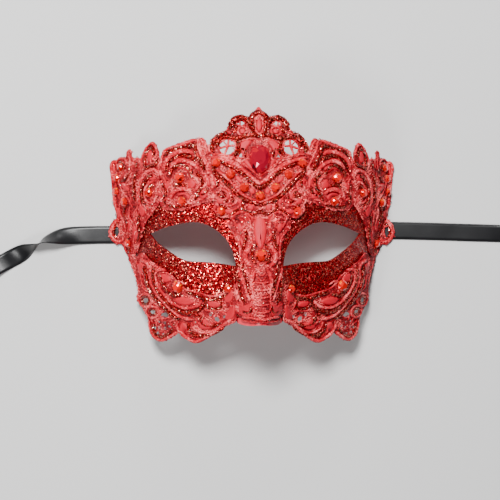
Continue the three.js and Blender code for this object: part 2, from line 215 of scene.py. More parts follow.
def satin_finish():
    """Black polyester satin: fine cross threads, a soft sheen along the ribbon, and woven edges."""
    satin = Finish(
        "black_satin", Roughness=0.34, Sheen_Weight=0.08, Sheen_Roughness=0.35, Anisotropic=0.45,
        Specular_IOR_Level=0.3,
    )
    uv = satin.node("UVMap", {"uv_map": "UVMap"})
    spread = satin.node("SeparateXYZ", inputs={"Vector": uv}, output="Y")
    selvedge = (spread - 0.5).maths("ABSOLUTE", spread - 0.5) > 0.46
    threads = satin.node(
        "Mapping", inputs={"Vector": uv, "Scale": (RIBBON_LENGTH * 3.2, RIBBON_WIDTH * 0.5, 1)}
    )
    weave = satin.noise(1.0, 3, threads)
    cloud = satin.noise(55, 2)
    tone = satin.blend(cloud, (0.003, 0.003, 0.0035), (0.010, 0.010, 0.011))
    satin.feed("Base Color", satin.blend(selvedge * 0.7, tone, (0.016, 0.016, 0.017)))
    satin.feed("Roughness", weave * 0.12 + cloud * 0.16 + 0.2)
    satin.emboss(weave + selvedge * 1.5, 0.35, 0.00012)
    return satin.material


def ribbon_line(knots, coil):
    """The middle line of a whole ribbon, as x, y and twist at every 1.5 mm."""
    lead = along(knots, 1.5)
    walked = np.linalg.norm(np.diff(lead[:, :2], axis=0), axis=1).sum()
    turns = []
    angle = 0.0
    while walked < RIBBON_LENGTH - 1:
        radius = COIL_RADIUS - COIL_TURN_GAP * angle / (2 * np.pi)
        heading = coil["from"] + coil["way"] * angle
        x, y = np.array(coil["centre"]) + radius * np.array([np.cos(heading), np.sin(heading)])
        turns.append((x, y, coil["twist"]))
        walked += radius * COIL_STEP
        angle += COIL_STEP
    return along([*knots, *turns], 1.5)


def make_ribbon(name, line):
    """A flat strip along the line, each cross thread turned about the line by its twist."""
    columns = 6
    bpy.ops.mesh.primitive_grid_add(x_subdivisions=len(line) - 1, y_subdivisions=columns, size=1)
    ribbon = bpy.context.object
    ribbon.name = name
    cells = np.array([vertex.co for vertex in ribbon.data.vertices])
    station = np.rint((cells[:, 0] + 0.5) * (len(line) - 1)).astype(int)
    middle = line[station, :2]
    twist = np.radians(line[station, 2])
    heading = np.gradient(line[:, :2], axis=0)
    heading /= np.linalg.norm(heading, axis=1)[:, None]
    side = np.column_stack([-heading[:, 1], heading[:, 0]])[station]
    reach = cells[:, 1] * RIBBON_WIDTH
    flat = middle + side * (reach * np.cos(twist))[:, None]
    height = RIBBON_LIES_AT + RIBBON_WIDTH / 2 * np.abs(np.sin(twist)) + reach * np.sin(twist)
    places = np.column_stack([flat, height]) * MM
    ribbon.data.vertices.foreach_set("co", places.ravel())
    wall = ribbon.modifiers.new("cloth", "SOLIDIFY")
    wall.thickness = RIBBON_THICKNESS * MM
    wall.offset = 0
    bpy.ops.object.modifier_apply(modifier="cloth")
    bpy.ops.object.shade_smooth()
    return ribbon


satin = satin_finish()
for side, knots in RIBBON_KNOTS.items():
    line = ribbon_line(knots, COILS[side])
    ribbon = make_ribbon(f"satin_tie_{side}", line)
    ribbon.data.materials.append(satin)
    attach(ribbon, f"tie_{side}")
    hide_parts(f"ribbon_{side}", f"ribbon_coil_{side}")

# ---- moulded shell ----
# The wearer's side of the mask: a 1.2 mm pressed half mask with two eye holes, painted red and covered
# with loose glitter. Its temple edges stand on the table, with a notch for each ribbon.

SHELL_WALL = 1.2
SHELL_HALF_EDGE = [
    (0, -53.7), (6, -54.2), (11, -53.4), (14.5, -50.5), (21, -46.5), (29, -45.6), (38, -47.6), (45, -45.4),
    (52, -39.5), (57.5, -33), (63, -28.5), (67.4, -20.5), (73, -14.5), (78, -6), (80.5, 5), (82, 20),
    (80.5, 30.5), (76, 34.6), (69, 35.2), (61, 35.6), (52, 37.4), (41, 42.6), (33.6, 45.2), (30.6, 44.4),
    (28.4, 39.6), (24.6, 36.2), (18, 34.6), (10, 30.2), (5, 25.8), (0, 23),
]
EYE = [
    (12.9, -22.3), (12.9, -22.3), (13.6, -17.5), (15.2, -12.3), (18, -7.8), (21.9, -3.9), (26.7, -0.6),
    (31.5, 1.2), (37, 1.6), (45.2, 0.3), (52.5, -2), (59.2, -4.6), (59.2, -4.6), (55.5, -9.4),
    (50.3, -13.3), (43.4, -17.7), (38.3, -19.6), (28.1, -20.2), (20.3, -21),
]
NOTCHES = {"right": (74.2, -2.4), "left": (-73.4, -5)}
NOTCH_SIZE = (24, 13.2, 2.4)


def eased(t):
    c = np.clip(t, 0, 1)
    return c * c * (3 - 2 * c)


def shell_height(x, y):
    """Height of the moulded form above the table, in millimetres."""
    half_width = 78.5 - 7 * eased((20 - y) / 40)
    spread = np.abs(x) * 78.5 / half_width
    bent = np.minimum(spread, 70.6) / 80
    root = np.sqrt(1 - bent * bent)
    side = 72 * (1 - root) + 0.9 * bent / root * np.maximum(spread - 70.6, 0)
    bow = (y - 5) ** 2 / 400
    down_nose = eased((8 - y) / 58)
    nose = 20 * down_nose * np.exp(-((x / (10 + 3 * down_nose)) ** 2))
    socket = 4 * np.exp(-(((np.abs(x) - 36) / 25) ** 2 + ((y + 9) / 14) ** 2))
    return 51 - side - bow + nose - socket


def lace_height(x, y):
    """The same, but turned out flat just above the table where lace reaches past the shell."""
    lift = shell_height(x, y) - 0.6
    return 0.6 + 0.5 * (lift + np.hypot(lift, 1))


def on_form(flat, height=lace_height, middles=None):
    """Moves flat points, given as x, y and distance above the form, to their place over the form. Points
    with a middle keep their distances from it, so that a cord isn't drawn wider on a steep side."""
    middles = flat if middles is None else middles
    x, y = middles[:, 0], middles[:, 1]
    slope_x = (height(x + 0.2, y) - height(x - 0.2, y)) / 0.4
    slope_y = (height(x, y + 0.2) - height(x, y - 0.2)) / 0.4
    normal = np.column_stack([-slope_x, -slope_y, np.ones(len(x))])
    normal /= np.linalg.norm(normal, axis=1)[:, None]
    across = np.column_stack([np.ones(len(x)), np.zeros(len(x)), slope_x])
    across /= np.linalg.norm(across, axis=1)[:, None]
    along_side = np.cross(normal, across)
    offset = flat - np.column_stack([x, y, np.zeros(len(x))])
    lain = across * offset[:, :1] + along_side * offset[:, 1:2] + normal * offset[:, 2:]
    return np.column_stack([x, y, height(x, y)]) + lain


def points_of(piece):
    places = np.empty(len(piece.data.vertices) * 3)
    piece.data.vertices.foreach_get("co", places)
    return places.reshape(-1, 3)


def place_points(piece, places):
    piece.data.vertices.foreach_set("co", np.ascontiguousarray(places).ravel())
    piece.data.update()


def press(piece, height=lace_height):
    """Presses a flat piece, drawn in millimetres, over the form, which also brings it to metres."""
    place_points(piece, on_form(points_of(piece), height) * MM)


def select_only(*pieces):
    bpy.ops.object.select_all(action="DESELECT")
    for piece in pieces:
        piece.select_set(True)
    bpy.context.view_layer.objects.active = pieces[0]


def tidy_normals(piece, gap=1e-4):
    """Merges doubled points and turns all faces outwards."""
    select_only(piece)
    bpy.ops.object.mode_set(mode="EDIT")
    bpy.ops.mesh.select_all(action="SELECT")
    bpy.ops.mesh.remove_doubles(threshold=gap)
    bpy.ops.mesh.normals_make_consistent(inside=False)
    bpy.ops.object.mode_set(mode="OBJECT")


def mirrored(points):
    """The other half of an outline or route: the same points on the left of the mirror plane."""
    return [(-x, *rest) for x, *rest in points][::-1]


def whole(half):
    """Closes a right-hand half outline, which runs between two points of the mirror plane."""
    return half + [point for point in mirrored(half) if point[0] != 0]


def cut_sheet(name, edge, holes, under, over, cell=1.2):
    """A flat sheet in millimetres, close-meshed so that it can bend, with its outline and holes cut."""
    stamp = bpy.data.curves.new(name + "_stamp", "CURVE")
    stamp.dimensions = "2D"
    stamp.fill_mode = "BOTH"
    stamp.extrude = 20
    for loop in [edge, *holes]:
        line = along(loop, 0.9, closed=True)
        spline = stamp.splines.new("POLY")
        spline.points.add(len(line) - 1)
        spline.points.foreach_set("co", np.column_stack([line, line * 0]).ravel())
        spline.use_cyclic_u = True
    cutter = bpy.data.objects.new(name + "_stamp", stamp)
    bpy.context.collection.objects.link(cutter)
    select_only(cutter)
    bpy.ops.object.convert(target="MESH")
    tidy_normals(cutter)
    low = np.min(edge, axis=0) - 2
    span = np.max(edge, axis=0) + 2 - low
    columns, rows = np.ceil(span / cell).astype(int)
    bpy.ops.mesh.primitive_grid_add(x_subdivisions=columns, y_subdivisions=rows, size=1)
    sheet = bpy.context.object
    sheet.name = name
    cells = points_of(sheet)
    place_points(sheet, np.column_stack([(cells[:, :2] + 0.5) * span + low, cells[:, 2] + over]))
    wall = sheet.modifiers.new("wall", "SOLIDIFY")
    wall.thickness = over - under
    bpy.ops.object.modifier_apply(modifier="wall")
    cut = sheet.modifiers.new("cut", "BOOLEAN")
    cut.operation = "INTERSECT"
    cut.solver = "MANIFOLD"
    cut.object = cutter
    bpy.ops.object.modifier_apply(modifier="cut")
    sheet.data.materials.clear()
    bpy.data.objects.remove(cutter)
    return sheet


def dress(piece, finish, node=None, body="mask"):
    """Gives a piece its finish and the body it rides on, and hides the plain solid it stands for."""
    piece.data.materials.append(finish)
    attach(piece, body)
    if node:
        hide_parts(node)
    return piece


def glitter_finish(name, deep, body, spark, cell):
    """Glitter in clear varnish: small flakes that each lie at their own angle, with about one in ten painted in a
    bright colour as a painted glint.
    """
    glitter = Finish(name, Specular_IOR_Level=0.3)
    flakes = {"Vector": glitter.object_place(), "Scale": 1 / (cell * MM), "Randomness": 1.0}
    hue = glitter.node("TexVoronoi", {"feature": "F1"}, flakes, "Color")
    chance = glitter.node("SeparateColor", inputs={"Color": hue}, output="Red")
    shade = glitter.node("SeparateColor", inputs={"Color": hue}, output="Green")
    tone = glitter.blend(shade, deep, body)
    # Painted glints: about one flake in ten is painted mostly in the bright third colour, which shows under any
    # light.
    glitter.feed("Base Color", glitter.blend((chance > 0.9) * 0.85, tone, spark))
    glitter.feed("Metallic", (chance > 0.3) * 0.5 + 0.4)
    glitter.feed("Roughness", shade * 0.22 + 0.14)
    lean = glitter.node("VectorMath", {"operation": "SUBTRACT"}, {0: hue, 1: (0.5, 0.5, 0.5)})
    lean = glitter.node("VectorMath", {"operation": "SCALE"}, {"Vector": lean, "Scale": 0.85})
    face = glitter.node("NewGeometry", output="Normal")
    lean = glitter.node("VectorMath", {"operation": "ADD"}, {0: face, 1: lean})
    glitter.feed("Normal", glitter.node("VectorMath", {"operation": "NORMALIZE"}, {0: lean}))
    return glitter.material


# The third colour is a painted glint.
GLITTER = {"deep": (0.04, 0.0, 0.0005), "body": (0.40, 0.0, 0.006), "spark": (1.0, 0.21, 0.14)}
glitter_red = glitter_finish("red_glitter", **GLITTER, cell=0.44)

lining = Finish("lining_paint", Roughness=0.6)
brushed = lining.noise(220, 4)
lining.feed("Base Color", lining.blend(brushed, (0.30, 0.012, 0.018), (0.42, 0.022, 0.03)))
lining.emboss(brushed, 0.25, 0.0002)

rim_paint = Finish("rim_paint", Roughness=0.4, Specular_IOR_Level=0.4)
streaks = rim_paint.noise(90, 2)
rim_paint.feed("Base Color", rim_paint.blend(streaks, (0.60, 0.002, 0.02), (0.78, 0.016, 0.045)))

shell = cut_sheet("moulded_shell", whole(SHELL_HALF_EDGE), [EYE, mirrored(EYE)], -SHELL_WALL, 0, 1.0)
press(shell, shell_height)
select_only(shell)
bpy.ops.object.mode_set(mode="EDIT")
bpy.ops.mesh.select_all(action="SELECT")
bpy.ops.mesh.bisect(plane_co=(0, 0, 0), plane_no=(0, 0, 1), use_fill=True, clear_inner=True)
bpy.ops.object.mode_set(mode="OBJECT")
for x, y in NOTCHES.values():
    bpy.ops.mesh.primitive_cube_add(size=1)
    block = bpy.context.object
    place_points(block, (points_of(block) * NOTCH_SIZE + (x, y, 0)) * MM)
    select_only(shell)
    notch = shell.modifiers.new("notch", "BOOLEAN")
    notch.operation = "DIFFERENCE"
    notch.solver = "MANIFOLD"
    notch.object = block
    bpy.ops.object.modifier_apply(modifier="notch")
    bpy.data.objects.remove(block)
shell.data.materials.clear()
dress(shell, glitter_red, "base_shell")
shell.data.materials.append(lining.material)
shell.data.materials.append(rim_paint.material)
for face in shell.data.polygons:
    under_nose = abs(face.center.x) < 12 * MM and face.center.y < -50.2 * MM
    face.material_index = 2 if under_nose else int(face.normal.z < -0.05)
select_only(shell)
bpy.ops.object.shade_smooth_by_angle(angle=np.radians(50))


# ---- crown backing ----
# A stiff fabric petal glued behind the crown, coral red and smooth, which shows at the crown's tip and
# round the big stone. It carries the lace above the dipped top edge of the shell.

CROWN_WINDOW = [(17.2 + 4.6 * np.cos(a), 42 + 4.5 * np.sin(a)) for a in np.radians(range(0, 360, 36))]
ARCH_WINDOW = [(9.8 + 2.3 * np.cos(a), 55 + 1.6 * np.sin(a)) for a in np.radians(range(0, 360, 45))]
FOOT_WINDOW = [(8.3, 36.1), (8.3, 36.1), (12.2, 35.9), (12.2, 35.9), (9.8, 39.4), (9.8, 39.4)]
crown_holes = [CROWN_WINDOW, ARCH_WINDOW, FOOT_WINDOW]
crown_holes += [mirrored(hole) for hole in crown_holes]
BACKING_HALF_EDGE = [
    (0, 24.2), (4.6, 26.9), (9.6, 31.3), (17.8, 35.6), (24, 37.3), (25.4, 41), (25, 45.4), (23.4, 49.2),
    (19.6, 50.4), (14, 55.4), (8.4, 57.6), (3.4, 60.6), (0, 64.6),
]

coral_cloth = Finish("coral_cloth", Roughness=0.55, Specular_IOR_Level=0.25)
weave = coral_cloth.noise(1800, 2)
cloud = coral_cloth.noise(160, 3)
coral_cloth.feed("Base Color", coral_cloth.blend(cloud, (0.32, 0.0, 0.008), (0.56, 0.002, 0.018)))
coral_cloth.emboss(weave + cloud * 2, 0.6, 0.0003)

backing = cut_sheet("crown_petal", whole(BACKING_HALF_EDGE), crown_holes, -0.9, 0.1, 1.0)
press(backing, shell_height)
dress(backing, coral_cloth.material, "crown_backing")
select_only(backing)
bpy.ops.object.shade_smooth_by_angle(angle=np.radians(50))


# ---- lace: how it is made ----
# Stiff polyester lace, cut into petal-edged pieces and glued over the shell: an embroidered ground with a
# net of threads, satin-stitched ropes, flat glitter lines piped between them, and small padded petals.

LACE_GROUND = (0.5, 0.95)
LINE_RISE = 0.7
LINE_SPREAD = 1.35
HOLE_RIM = 0.9
SMALL_HOLE = 2.6
FLAKES_PER_MM2 = 0.3
outlines = {}
NET_SEAT = 1.0
NET_TURN = np.radians(34)
rng = np.random.default_rng(7)


def within(loop, x, y):
    """Whether each point lies inside the loop, by counting the loop's crossings to its right."""
    inside = np.zeros(len(x), bool)
    for (x0, y0), (x1, y1) in zip(loop, [*loop[1:], loop[0]]):
        if y0 != y1:
            inside ^= ((y0 > y) != (y1 > y)) & (x < (x1 - x0) * (y - y0) / (y1 - y0) + x0)
    return inside


def on_lace(edge, holes, x, y):
    """Whether each point lies on the lace, clear of its holes."""
    found = within(edge, x, y)
    for hole in holes:
        found &= ~within(hole, x, y)
    return found


def mark(piece, name, values):
    """Keeps a number at each point of a piece, for its finish to read."""
    piece.data.attributes.new(name, "FLOAT", "POINT").data.foreach_set("value", values)


def weave_net(name, edge, holes, spacing=1.35, bar=0.55):
    """A net of knotted threads that covers the lace, laid askew and uneven as machine lace is."""
    middle = (np.min(edge, axis=0) + np.max(edge, axis=0)) / 2
    span = np.max(np.linalg.norm(np.array(edge) - middle, axis=1)) * 2
    rows = int(np.ceil(span / spacing))
    bpy.ops.mesh.primitive_grid_add(x_subdivisions=rows, y_subdivisions=rows, size=span)
    net = bpy.context.object
    net.name = name
    askew = turn_about_z(np.array([NET_TURN]))[0]
    cells = (points_of(net) @ askew.T)[:, :2] + middle
    cells += rng.uniform(-0.42, 0.42, cells.shape) * spacing
    place_points(net, np.column_stack([cells, np.zeros(len(cells))]))
    centres = np.array([face.center for face in net.data.polygons])
    outside = ~on_lace(edge, holes, centres[:, 0], centres[:, 1])
    bpy.ops.object.mode_set(mode="EDIT")
    bpy.ops.mesh.select_mode(type="FACE")
    bpy.ops.mesh.select_all(action="DESELECT")
    bpy.ops.object.mode_set(mode="OBJECT")
    net.data.polygons.foreach_set("select", outside)
    bpy.ops.object.mode_set(mode="EDIT")
    bpy.ops.mesh.delete(type="FACE")
    bpy.ops.mesh.select_mode(type="VERT")
    for _ in range(3):
        bpy.ops.mesh.select_all(action="DESELECT")
        bpy.ops.mesh.select_non_manifold(
            use_wire=False, use_boundary=False, use_multi_face=False, use_non_contiguous=False
        )
        bpy.ops.mesh.delete(type="VERT")
    bpy.ops.object.mode_set(mode="OBJECT")
    threads = net.modifiers.new("threads", "WIREFRAME")
    threads.thickness = bar
    threads.use_even_offset = False
    threads.use_boundary = True
    bpy.ops.object.modifier_apply(modifier="threads")
    places = points_of(net)
    # lift runs from the bottom to the top of each thread; the thread finish paints shade low and highlights high by
    # it.
    mark(net, "lift", places[:, 2] / bar + 0.5)
    mark(net, "run", places[:, 0] + places[:, 1])
    places[:, 2] += NET_SEAT
    place_points(net, on_form(places) * MM)
    tidy_normals(net, 1e-6)
    bpy.ops.object.shade_smooth()
    return net


CORD_SIDES = 8


def sew_cords(name, routes, seat, rise):
    """Cords sewn down along their routes, as one piece. A route is the cord's width and its knots: x, y
    and, where the cord swells or thins, how much. A route that ends where it starts is a closed one."""
    cords = bpy.data.curves.new(name, "CURVE")
    cords.dimensions = "3D"
    cords.twist_mode = "Z_UP"
    cords.bevel_depth = 1
    cords.bevel_resolution = (CORD_SIDES - 4) // 2
    cords.use_fill_caps = True
    for width, knots in routes:
        closed = knots[0] == knots[-1]
        swelling = [(*knot, 1.0)[:3] for knot in (knots[:-1] if closed else knots)]
        line = along(swelling, max(0.4 * width, 0.45), closed)
        radius = line[:, 2] * width / 2 * rng.uniform(0.84, 1.16, len(line))
        if not closed:
            to_end = np.minimum(np.arange(len(line)), np.arange(len(line))[::-1])
            radius *= np.sqrt(np.clip((to_end + 0.3) / 2.3, 0, 1))
        spline = cords.splines.new("POLY")
        spline.points.add(len(line) - 1)
        spline.points.foreach_set("co", np.column_stack([line[:, :2], line * 0])[:, :4].ravel())
        spline.points.foreach_set("radius", radius)
        spline.use_cyclic_u = closed
    piece = bpy.data.objects.new(name, cords)
    bpy.context.collection.objects.link(piece)
    select_only(piece)
    bpy.ops.object.convert(target="MESH")
    places = points_of(piece)
    rings = places.reshape(-1, CORD_SIDES, 3)
    middles = np.repeat(rings.mean(axis=1), CORD_SIDES, axis=0)
    radius = np.repeat(rings[:, :, 2].max(axis=1), CORD_SIDES)
    steps = np.linalg.norm(np.diff(rings.mean(axis=1), axis=0), axis=1)
    mark(piece, "run", np.repeat(np.r_[0, np.cumsum(steps)], CORD_SIDES))
    # lift runs from the bottom to the top of each cord; the thread finish paints shade low and highlights high by
    # it.
    mark(piece, "lift", places[:, 2] / np.maximum(radius, 1e-3) * 0.5 + 0.5)
    places[:, 2] = seat + (radius + places[:, 2]) * rise
    place_points(piece, on_form(places, middles=middles) * MM)
    tidy_normals(piece, 1e-6)
    bpy.ops.object.shade_smooth()
    return piece


PETAL_SHOULDER = 1.1


def stuff_petals(name, petals, seat, rise):
    """Small padded petals, as one piece: each outline is a flat face raised by insets to a low dome."""
    made = []
    for edge in petals:
        line = along(edge, 0.8, closed=True)
        after = np.roll(line, -1, axis=0)
        area = np.sum(line[:, 0] * after[:, 1] - after[:, 0] * line[:, 1]) / 2
        girth = PETAL_SHOULDER * abs(area) / np.sum(np.linalg.norm(after - line, axis=1))
        if area < 0:
            line = line[::-1]
        bpy.ops.mesh.primitive_circle_add(vertices=len(line), radius=1, fill_type="NGON")
        petal = bpy.context.object
        place_points(petal, np.column_stack([line, np.full(len(line), seat)]))
        bpy.ops.object.mode_set(mode="EDIT")
        bpy.ops.mesh.select_all(action="SELECT")
        bpy.ops.mesh.extrude_region_move(TRANSFORM_OT_translate={"value": (0, 0, 0.25)})
        for share, step in ((0.12, 0.45), (0.22, 0.3), (0.3, 0.18)):
            bpy.ops.mesh.inset(thickness=girth * share, depth=step * rise, use_even_offset=False)
        bpy.ops.mesh.poke()
        bpy.ops.mesh.select_all(action="SELECT")
        bpy.ops.mesh.normals_make_consistent(inside=False)
        bpy.ops.object.mode_set(mode="OBJECT")
        made.append(petal)
    select_only(*made)
    bpy.ops.object.join()
    petals = bpy.context.object
    petals.name = name
    press(petals)
    bpy.ops.object.shade_smooth()
    return petals


def flake_shape():
    """One glitter flake, 1 across: a low six-sided pyramid, so that its sides catch the light apart."""
    bpy.ops.mesh.primitive_cone_add(vertices=6, radius1=0.5, radius2=0, depth=0.22)
    cone = bpy.context.object
    corners = points_of(cone)
    faces = [list(face.vertices) for face in cone.data.polygons]
    bpy.data.objects.remove(cone)
    return corners, faces


flake_corners, flake_faces = flake_shape()


def strew_flakes(name, spots, size, height=lace_height):
    """Loose glitter: one flake at each spot, turned and tilted at random."""
    count = len(spots)
    spin, tip, way = rng.uniform(0, 2 * np.pi, (3, count))
    tip = np.abs(rng.normal(0, 0.32, count))
    sizes = size * rng.uniform(0.65, 1.25, count)
    spun = np.einsum("ijk,lk->ilj", turn_about_z(spin), flake_corners)
    tilted = np.einsum("ijk,ilk->ilj", tilt_towards(way, tip), spun) * sizes[:, None, None]
    places = (tilted + spots[:, None, :]).reshape(-1, 3)
    middles = np.repeat(spots, len(flake_corners), axis=0)
    mesh = bpy.data.meshes.new(name)
    steps = np.arange(count) * len(flake_corners)
    faces = [[corner + int(step) for corner in face] for step in steps for face in flake_faces]
    mesh.from_pydata((on_form(places, height, middles) * MM).tolist(), [], faces)
    flakes = bpy.data.objects.new(name, mesh)
    bpy.context.collection.objects.link(flakes)
    # Each flake's random hue draw picks its red, and for a few a painted glint colour.
    mark(flakes, "hue", np.repeat(rng.uniform(0, 1, count), len(flake_corners)))
    return flakes


def turn_about_z(angle):
    c, s, o, i = np.cos(angle), np.sin(angle), np.zeros(len(angle)), np.ones(len(angle))
    return np.array([[c, -s, o], [s, c, o], [o, o, i]]).transpose(2, 0, 1)


def tilt_towards(way, tip):
    """Turns that lean a flat flake towards a compass way."""
    c, s, o, i = np.cos(tip), np.sin(tip), np.zeros(len(tip)), np.ones(len(tip))
    lean = np.array([[c, o, s], [o, i, o], [-s, o, c]]).transpose(2, 0, 1)
    there = turn_about_z(way)
    return there @ lean @ there.transpose(0, 2, 1)


def thread_finish(name, shadow, body, glow, stitch, patchy):
    """Polyester embroidery thread: close cross stitches, with painted shade low on each thread and painted
    highlights on its tops.
    """
    thread = Finish(name, Specular_IOR_Level=0.22)
    lift = thread.attribute("lift")
    stitches = (thread.attribute("run") * (2 * np.pi / stitch))
    stitches = stitches.maths("SINE", stitches) * 0.5 + 0.5
    fleck = thread.noise(1050, 3)
    worn = (thread.noise(150, 2) - 0.5) * patchy
    # Painted shade: the lower a point sits on its thread, the nearer its colour comes to the shadow colour; random
    # flecks and patches shift it.
    tone = thread.blend(thread.ramp(lift + fleck * 2.2 + worn, 1.1, 1.9), shadow, body)
    # Painted highlights: random flecks, more of them high on the thread, take the highlight colour.
    pale = thread.ramp(lift * 0.4 + fleck * 1.9 + worn + stitches * 0.05, 1.33, 1.66)
    thread.feed("Base Color", thread.blend(pale, tone, glow))
    thread.feed("Roughness", fleck * 0.25 + 0.32)
    thread.emboss(stitches * 0.3 + fleck * 2, 1.0, 0.0005)
    return thread.material


def ground_finish(name, shadow, body, glow):
    """The lace's embroidered ground: thread knots a few tenths of a millimetre across, in random tones from dark to
    body red, with a few random knots painted pale pink as highlights.
    """
    ground = Finish(name, Roughness=0.6, Specular_IOR_Level=0.3)
    inputs = {"Vector": ground.object_place(), "Scale": 1500.0, "Randomness": 1.0}
    knots = ground.node("TexVoronoi", {"feature": "F1"}, inputs, "Distance")
    chance = ground.node("TexVoronoi", {"feature": "F1"}, inputs, "Color")
    chance = ground.node("SeparateColor", inputs={"Color": chance}, output="Red")
    cloud = ground.noise(120, 3)
    tone = ground.blend(ground.ramp(cloud * 0.7 + chance * 0.5, 0.35, 0.85), shadow, body)
    # Painted highlights: a few random knots take the highlight colour.
    ground.feed("Base Color", ground.blend(ground.ramp(chance + cloud * 0.4, 0.95, 1.2), tone, glow))
    ground.emboss(1 - knots, 0.8, 0.0003)
    return ground.material


def flake_finish():
    """Metal-coated polyester flakes: mostly red in random tones, and a few painted bright orange to almost white as
    painted glints.
    """
    flake = Finish("glitter_flakes", Roughness=0.16, Coat_Weight=0.4, Coat_Roughness=0.05)
    hue = flake.attribute("hue")
    # Painted glints: the highest hue draws take bright orange to almost white.
    stops = [
        (0.0, (0.10, 0.0, 0.001)), (0.45, (0.50, 0.002, 0.004)), (0.78, (0.90, 0.02, 0.015)),
        (0.88, (1.0, 0.26, 0.15)), (0.96, (1.0, 0.66, 0.50)), (1.0, (1.0, 0.93, 0.85)),
    ]
    flake.feed("Base Color", flake.node("ValToRGB", {"stops": stops}, {"Fac": hue}))
    flake.feed("Metallic", (hue > 0.25) * 0.5 + 0.35)
    return flake.material


# Thread colours: the first is painted shade low on each thread, the second the thread's own red, the third the
# painted highlight on its tops.
LACE_COLOURS = {"shadow": (0.11, 0.0, 0.002), "body": (0.54, 0.0, 0.012), "glow": (1.0, 0.15, 0.15)}
rope_thread = thread_finish("rope_thread", **LACE_COLOURS, stitch=0.42, patchy=1.2)
net_thread = thread_finish(
    "net_thread", (0.08, 0.0, 0.002), (0.42, 0.0, 0.010), (1.0, 0.13, 0.13), stitch=0.9, patchy=3.6
)
# The ground's third colour is its painted highlight.
lace_ground = ground_finish("lace_ground", (0.06, 0.0, 0.001), (0.38, 0.0, 0.008), (0.80, 0.04, 0.055))
# Its third colour, too, is a painted glint.
glitter_line = glitter_finish(
    "piped_glitter", deep=(0.04, 0.0, 0.0005), body=(0.28, 0.001, 0.003), spark=(1.0, 0.34, 0.22), cell=0.42
)
loose_glitter = flake_finish()


def spots_along(routes, seat, rise, per_mm=0.9):
    """Random places for flakes on the backs of piped lines."""
    spots = []
    for width, knots in routes:
        closed = knots[0] == knots[-1]
        line = along([knot[:2] for knot in (knots[:-1] if closed else knots)], 1 / (per_mm * width), closed)
        heading = np.gradient(line, axis=0)
        heading /= np.linalg.norm(heading, axis=1)[:, None]
        reach = rng.uniform(-0.85, 0.85, len(line))
        across = np.column_stack([-heading[:, 1], heading[:, 0]]) * (reach * width / 2)[:, None]
        above = seat + width / 2 * rise * (1 + np.sqrt(1 - reach**2))
        spots.append(np.column_stack([line + across, above]))
    return np.vstack(spots)


def spots_over(edge, holes, per_mm2, above):
    """Random places for flakes over an outline."""
    low, high = np.min(edge, axis=0), np.max(edge, axis=0)
    count = int(np.prod(high - low) * per_mm2)
    x, y = rng.uniform(low[:, None], high[:, None], (2, count))
    kept = on_lace(edge, holes, x, y)
    return np.column_stack([x, y, np.full(count, above)])[kept]


def left_twin(piece):
    """A copy of a right-hand piece on the left of the mirror plane, with a mesh of its own."""
    twin = piece.copy()
    twin.data = piece.data.copy()
    twin.name = piece.name.replace("right", "left")
    bpy.context.collection.objects.link(twin)
    place_points(twin, points_of(twin) * (-1, 1, 1))
    twin.data.flip_normals()
    return twin


def make_lace(name, node, edge, holes, ropes, lines, threads, petals, paired):
    """One lace piece with all that is sewn to it. A paired one is made on the right and copied."""
    side = "_right" if paired else ""
    if not paired:
        edge = whole(edge)
        holes, petals = both_halves(holes), both_halves(petals)
        ropes, lines, threads = (
            [(width, half) for width, knots in routes for half in both_halves([knots])]
            for routes in (ropes, lines, threads)
        )
    ground = cut_sheet(f"{name}_ground{side}", edge, holes, *LACE_GROUND, cell=1.2)
    press(ground)
    select_only(ground)
    bpy.ops.object.shade_smooth_by_angle(angle=np.radians(50))
    outlines[name] = edge, paired
    rims = [(HOLE_RIM, [*hole, hole[0]]) for hole in holes if np.ptp(hole, axis=0).max() > SMALL_HOLE]
    piped = [(width * LINE_SPREAD, knots) for width, knots in lines]
    flakes = np.vstack([spots_along(piped, 0.9, LINE_RISE), spots_over(edge, holes, FLAKES_PER_MM2, 1.7)])
    parts = [
        (ground, lace_ground),
        (weave_net(f"{name}_net{side}", edge, holes), net_thread),
        (sew_cords(f"{name}_ropes{side}", ropes + rims, 0.9, 0.72), rope_thread),
        (sew_cords(f"{name}_lines{side}", piped, 0.9, LINE_RISE), glitter_line),
        (sew_cords(f"{name}_threads{side}", threads, 1.0, 0.8), rope_thread),
        (strew_flakes(f"{name}_flakes{side}", flakes, 0.5), loose_glitter),
    ]
    if petals:
        parts.append((stuff_petals(f"{name}_petals{side}", petals, 0.95, 0.8), coral_cloth.material))
    for piece, finish in parts:
        glue_down(piece, finish, paired)
    for each in (ground, bpy.data.objects[f"{name}_ground_left"]) if paired else (ground,):
        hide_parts(node + each.name[len(name) + len("_ground"):])


def glue_down(piece, finish, paired):
    """Gives a piece of lace its finish and its place on the mask, and copies a paired one to the left."""
    dress(piece, finish)
    if paired:
        twin = left_twin(piece)
        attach(twin, "mask")


def both_halves(shapes):
    """Right-hand outlines or middle lines, with their mirror images. One that starts on the mirror plane
    runs on into its image, and one that crosses the plane has both its halves already."""
    made = []
    for knots in shapes:
        crosses = min(knot[0] for knot in knots) < 0
        if knots[0][0] == 0 and not crosses:
            made.append(mirrored(knots)[:-1] + knots)
        else:
            made += [knots] if crosses else [knots, mirrored(knots)]
    return made


# ---- cheek lace ----
# The big lace pieces under the eyes: a double scroll that turns round the cheek stone, two rings and an
# eyelet lobe at the outer corner, and a broad folded lobe below that reaches past the shell.

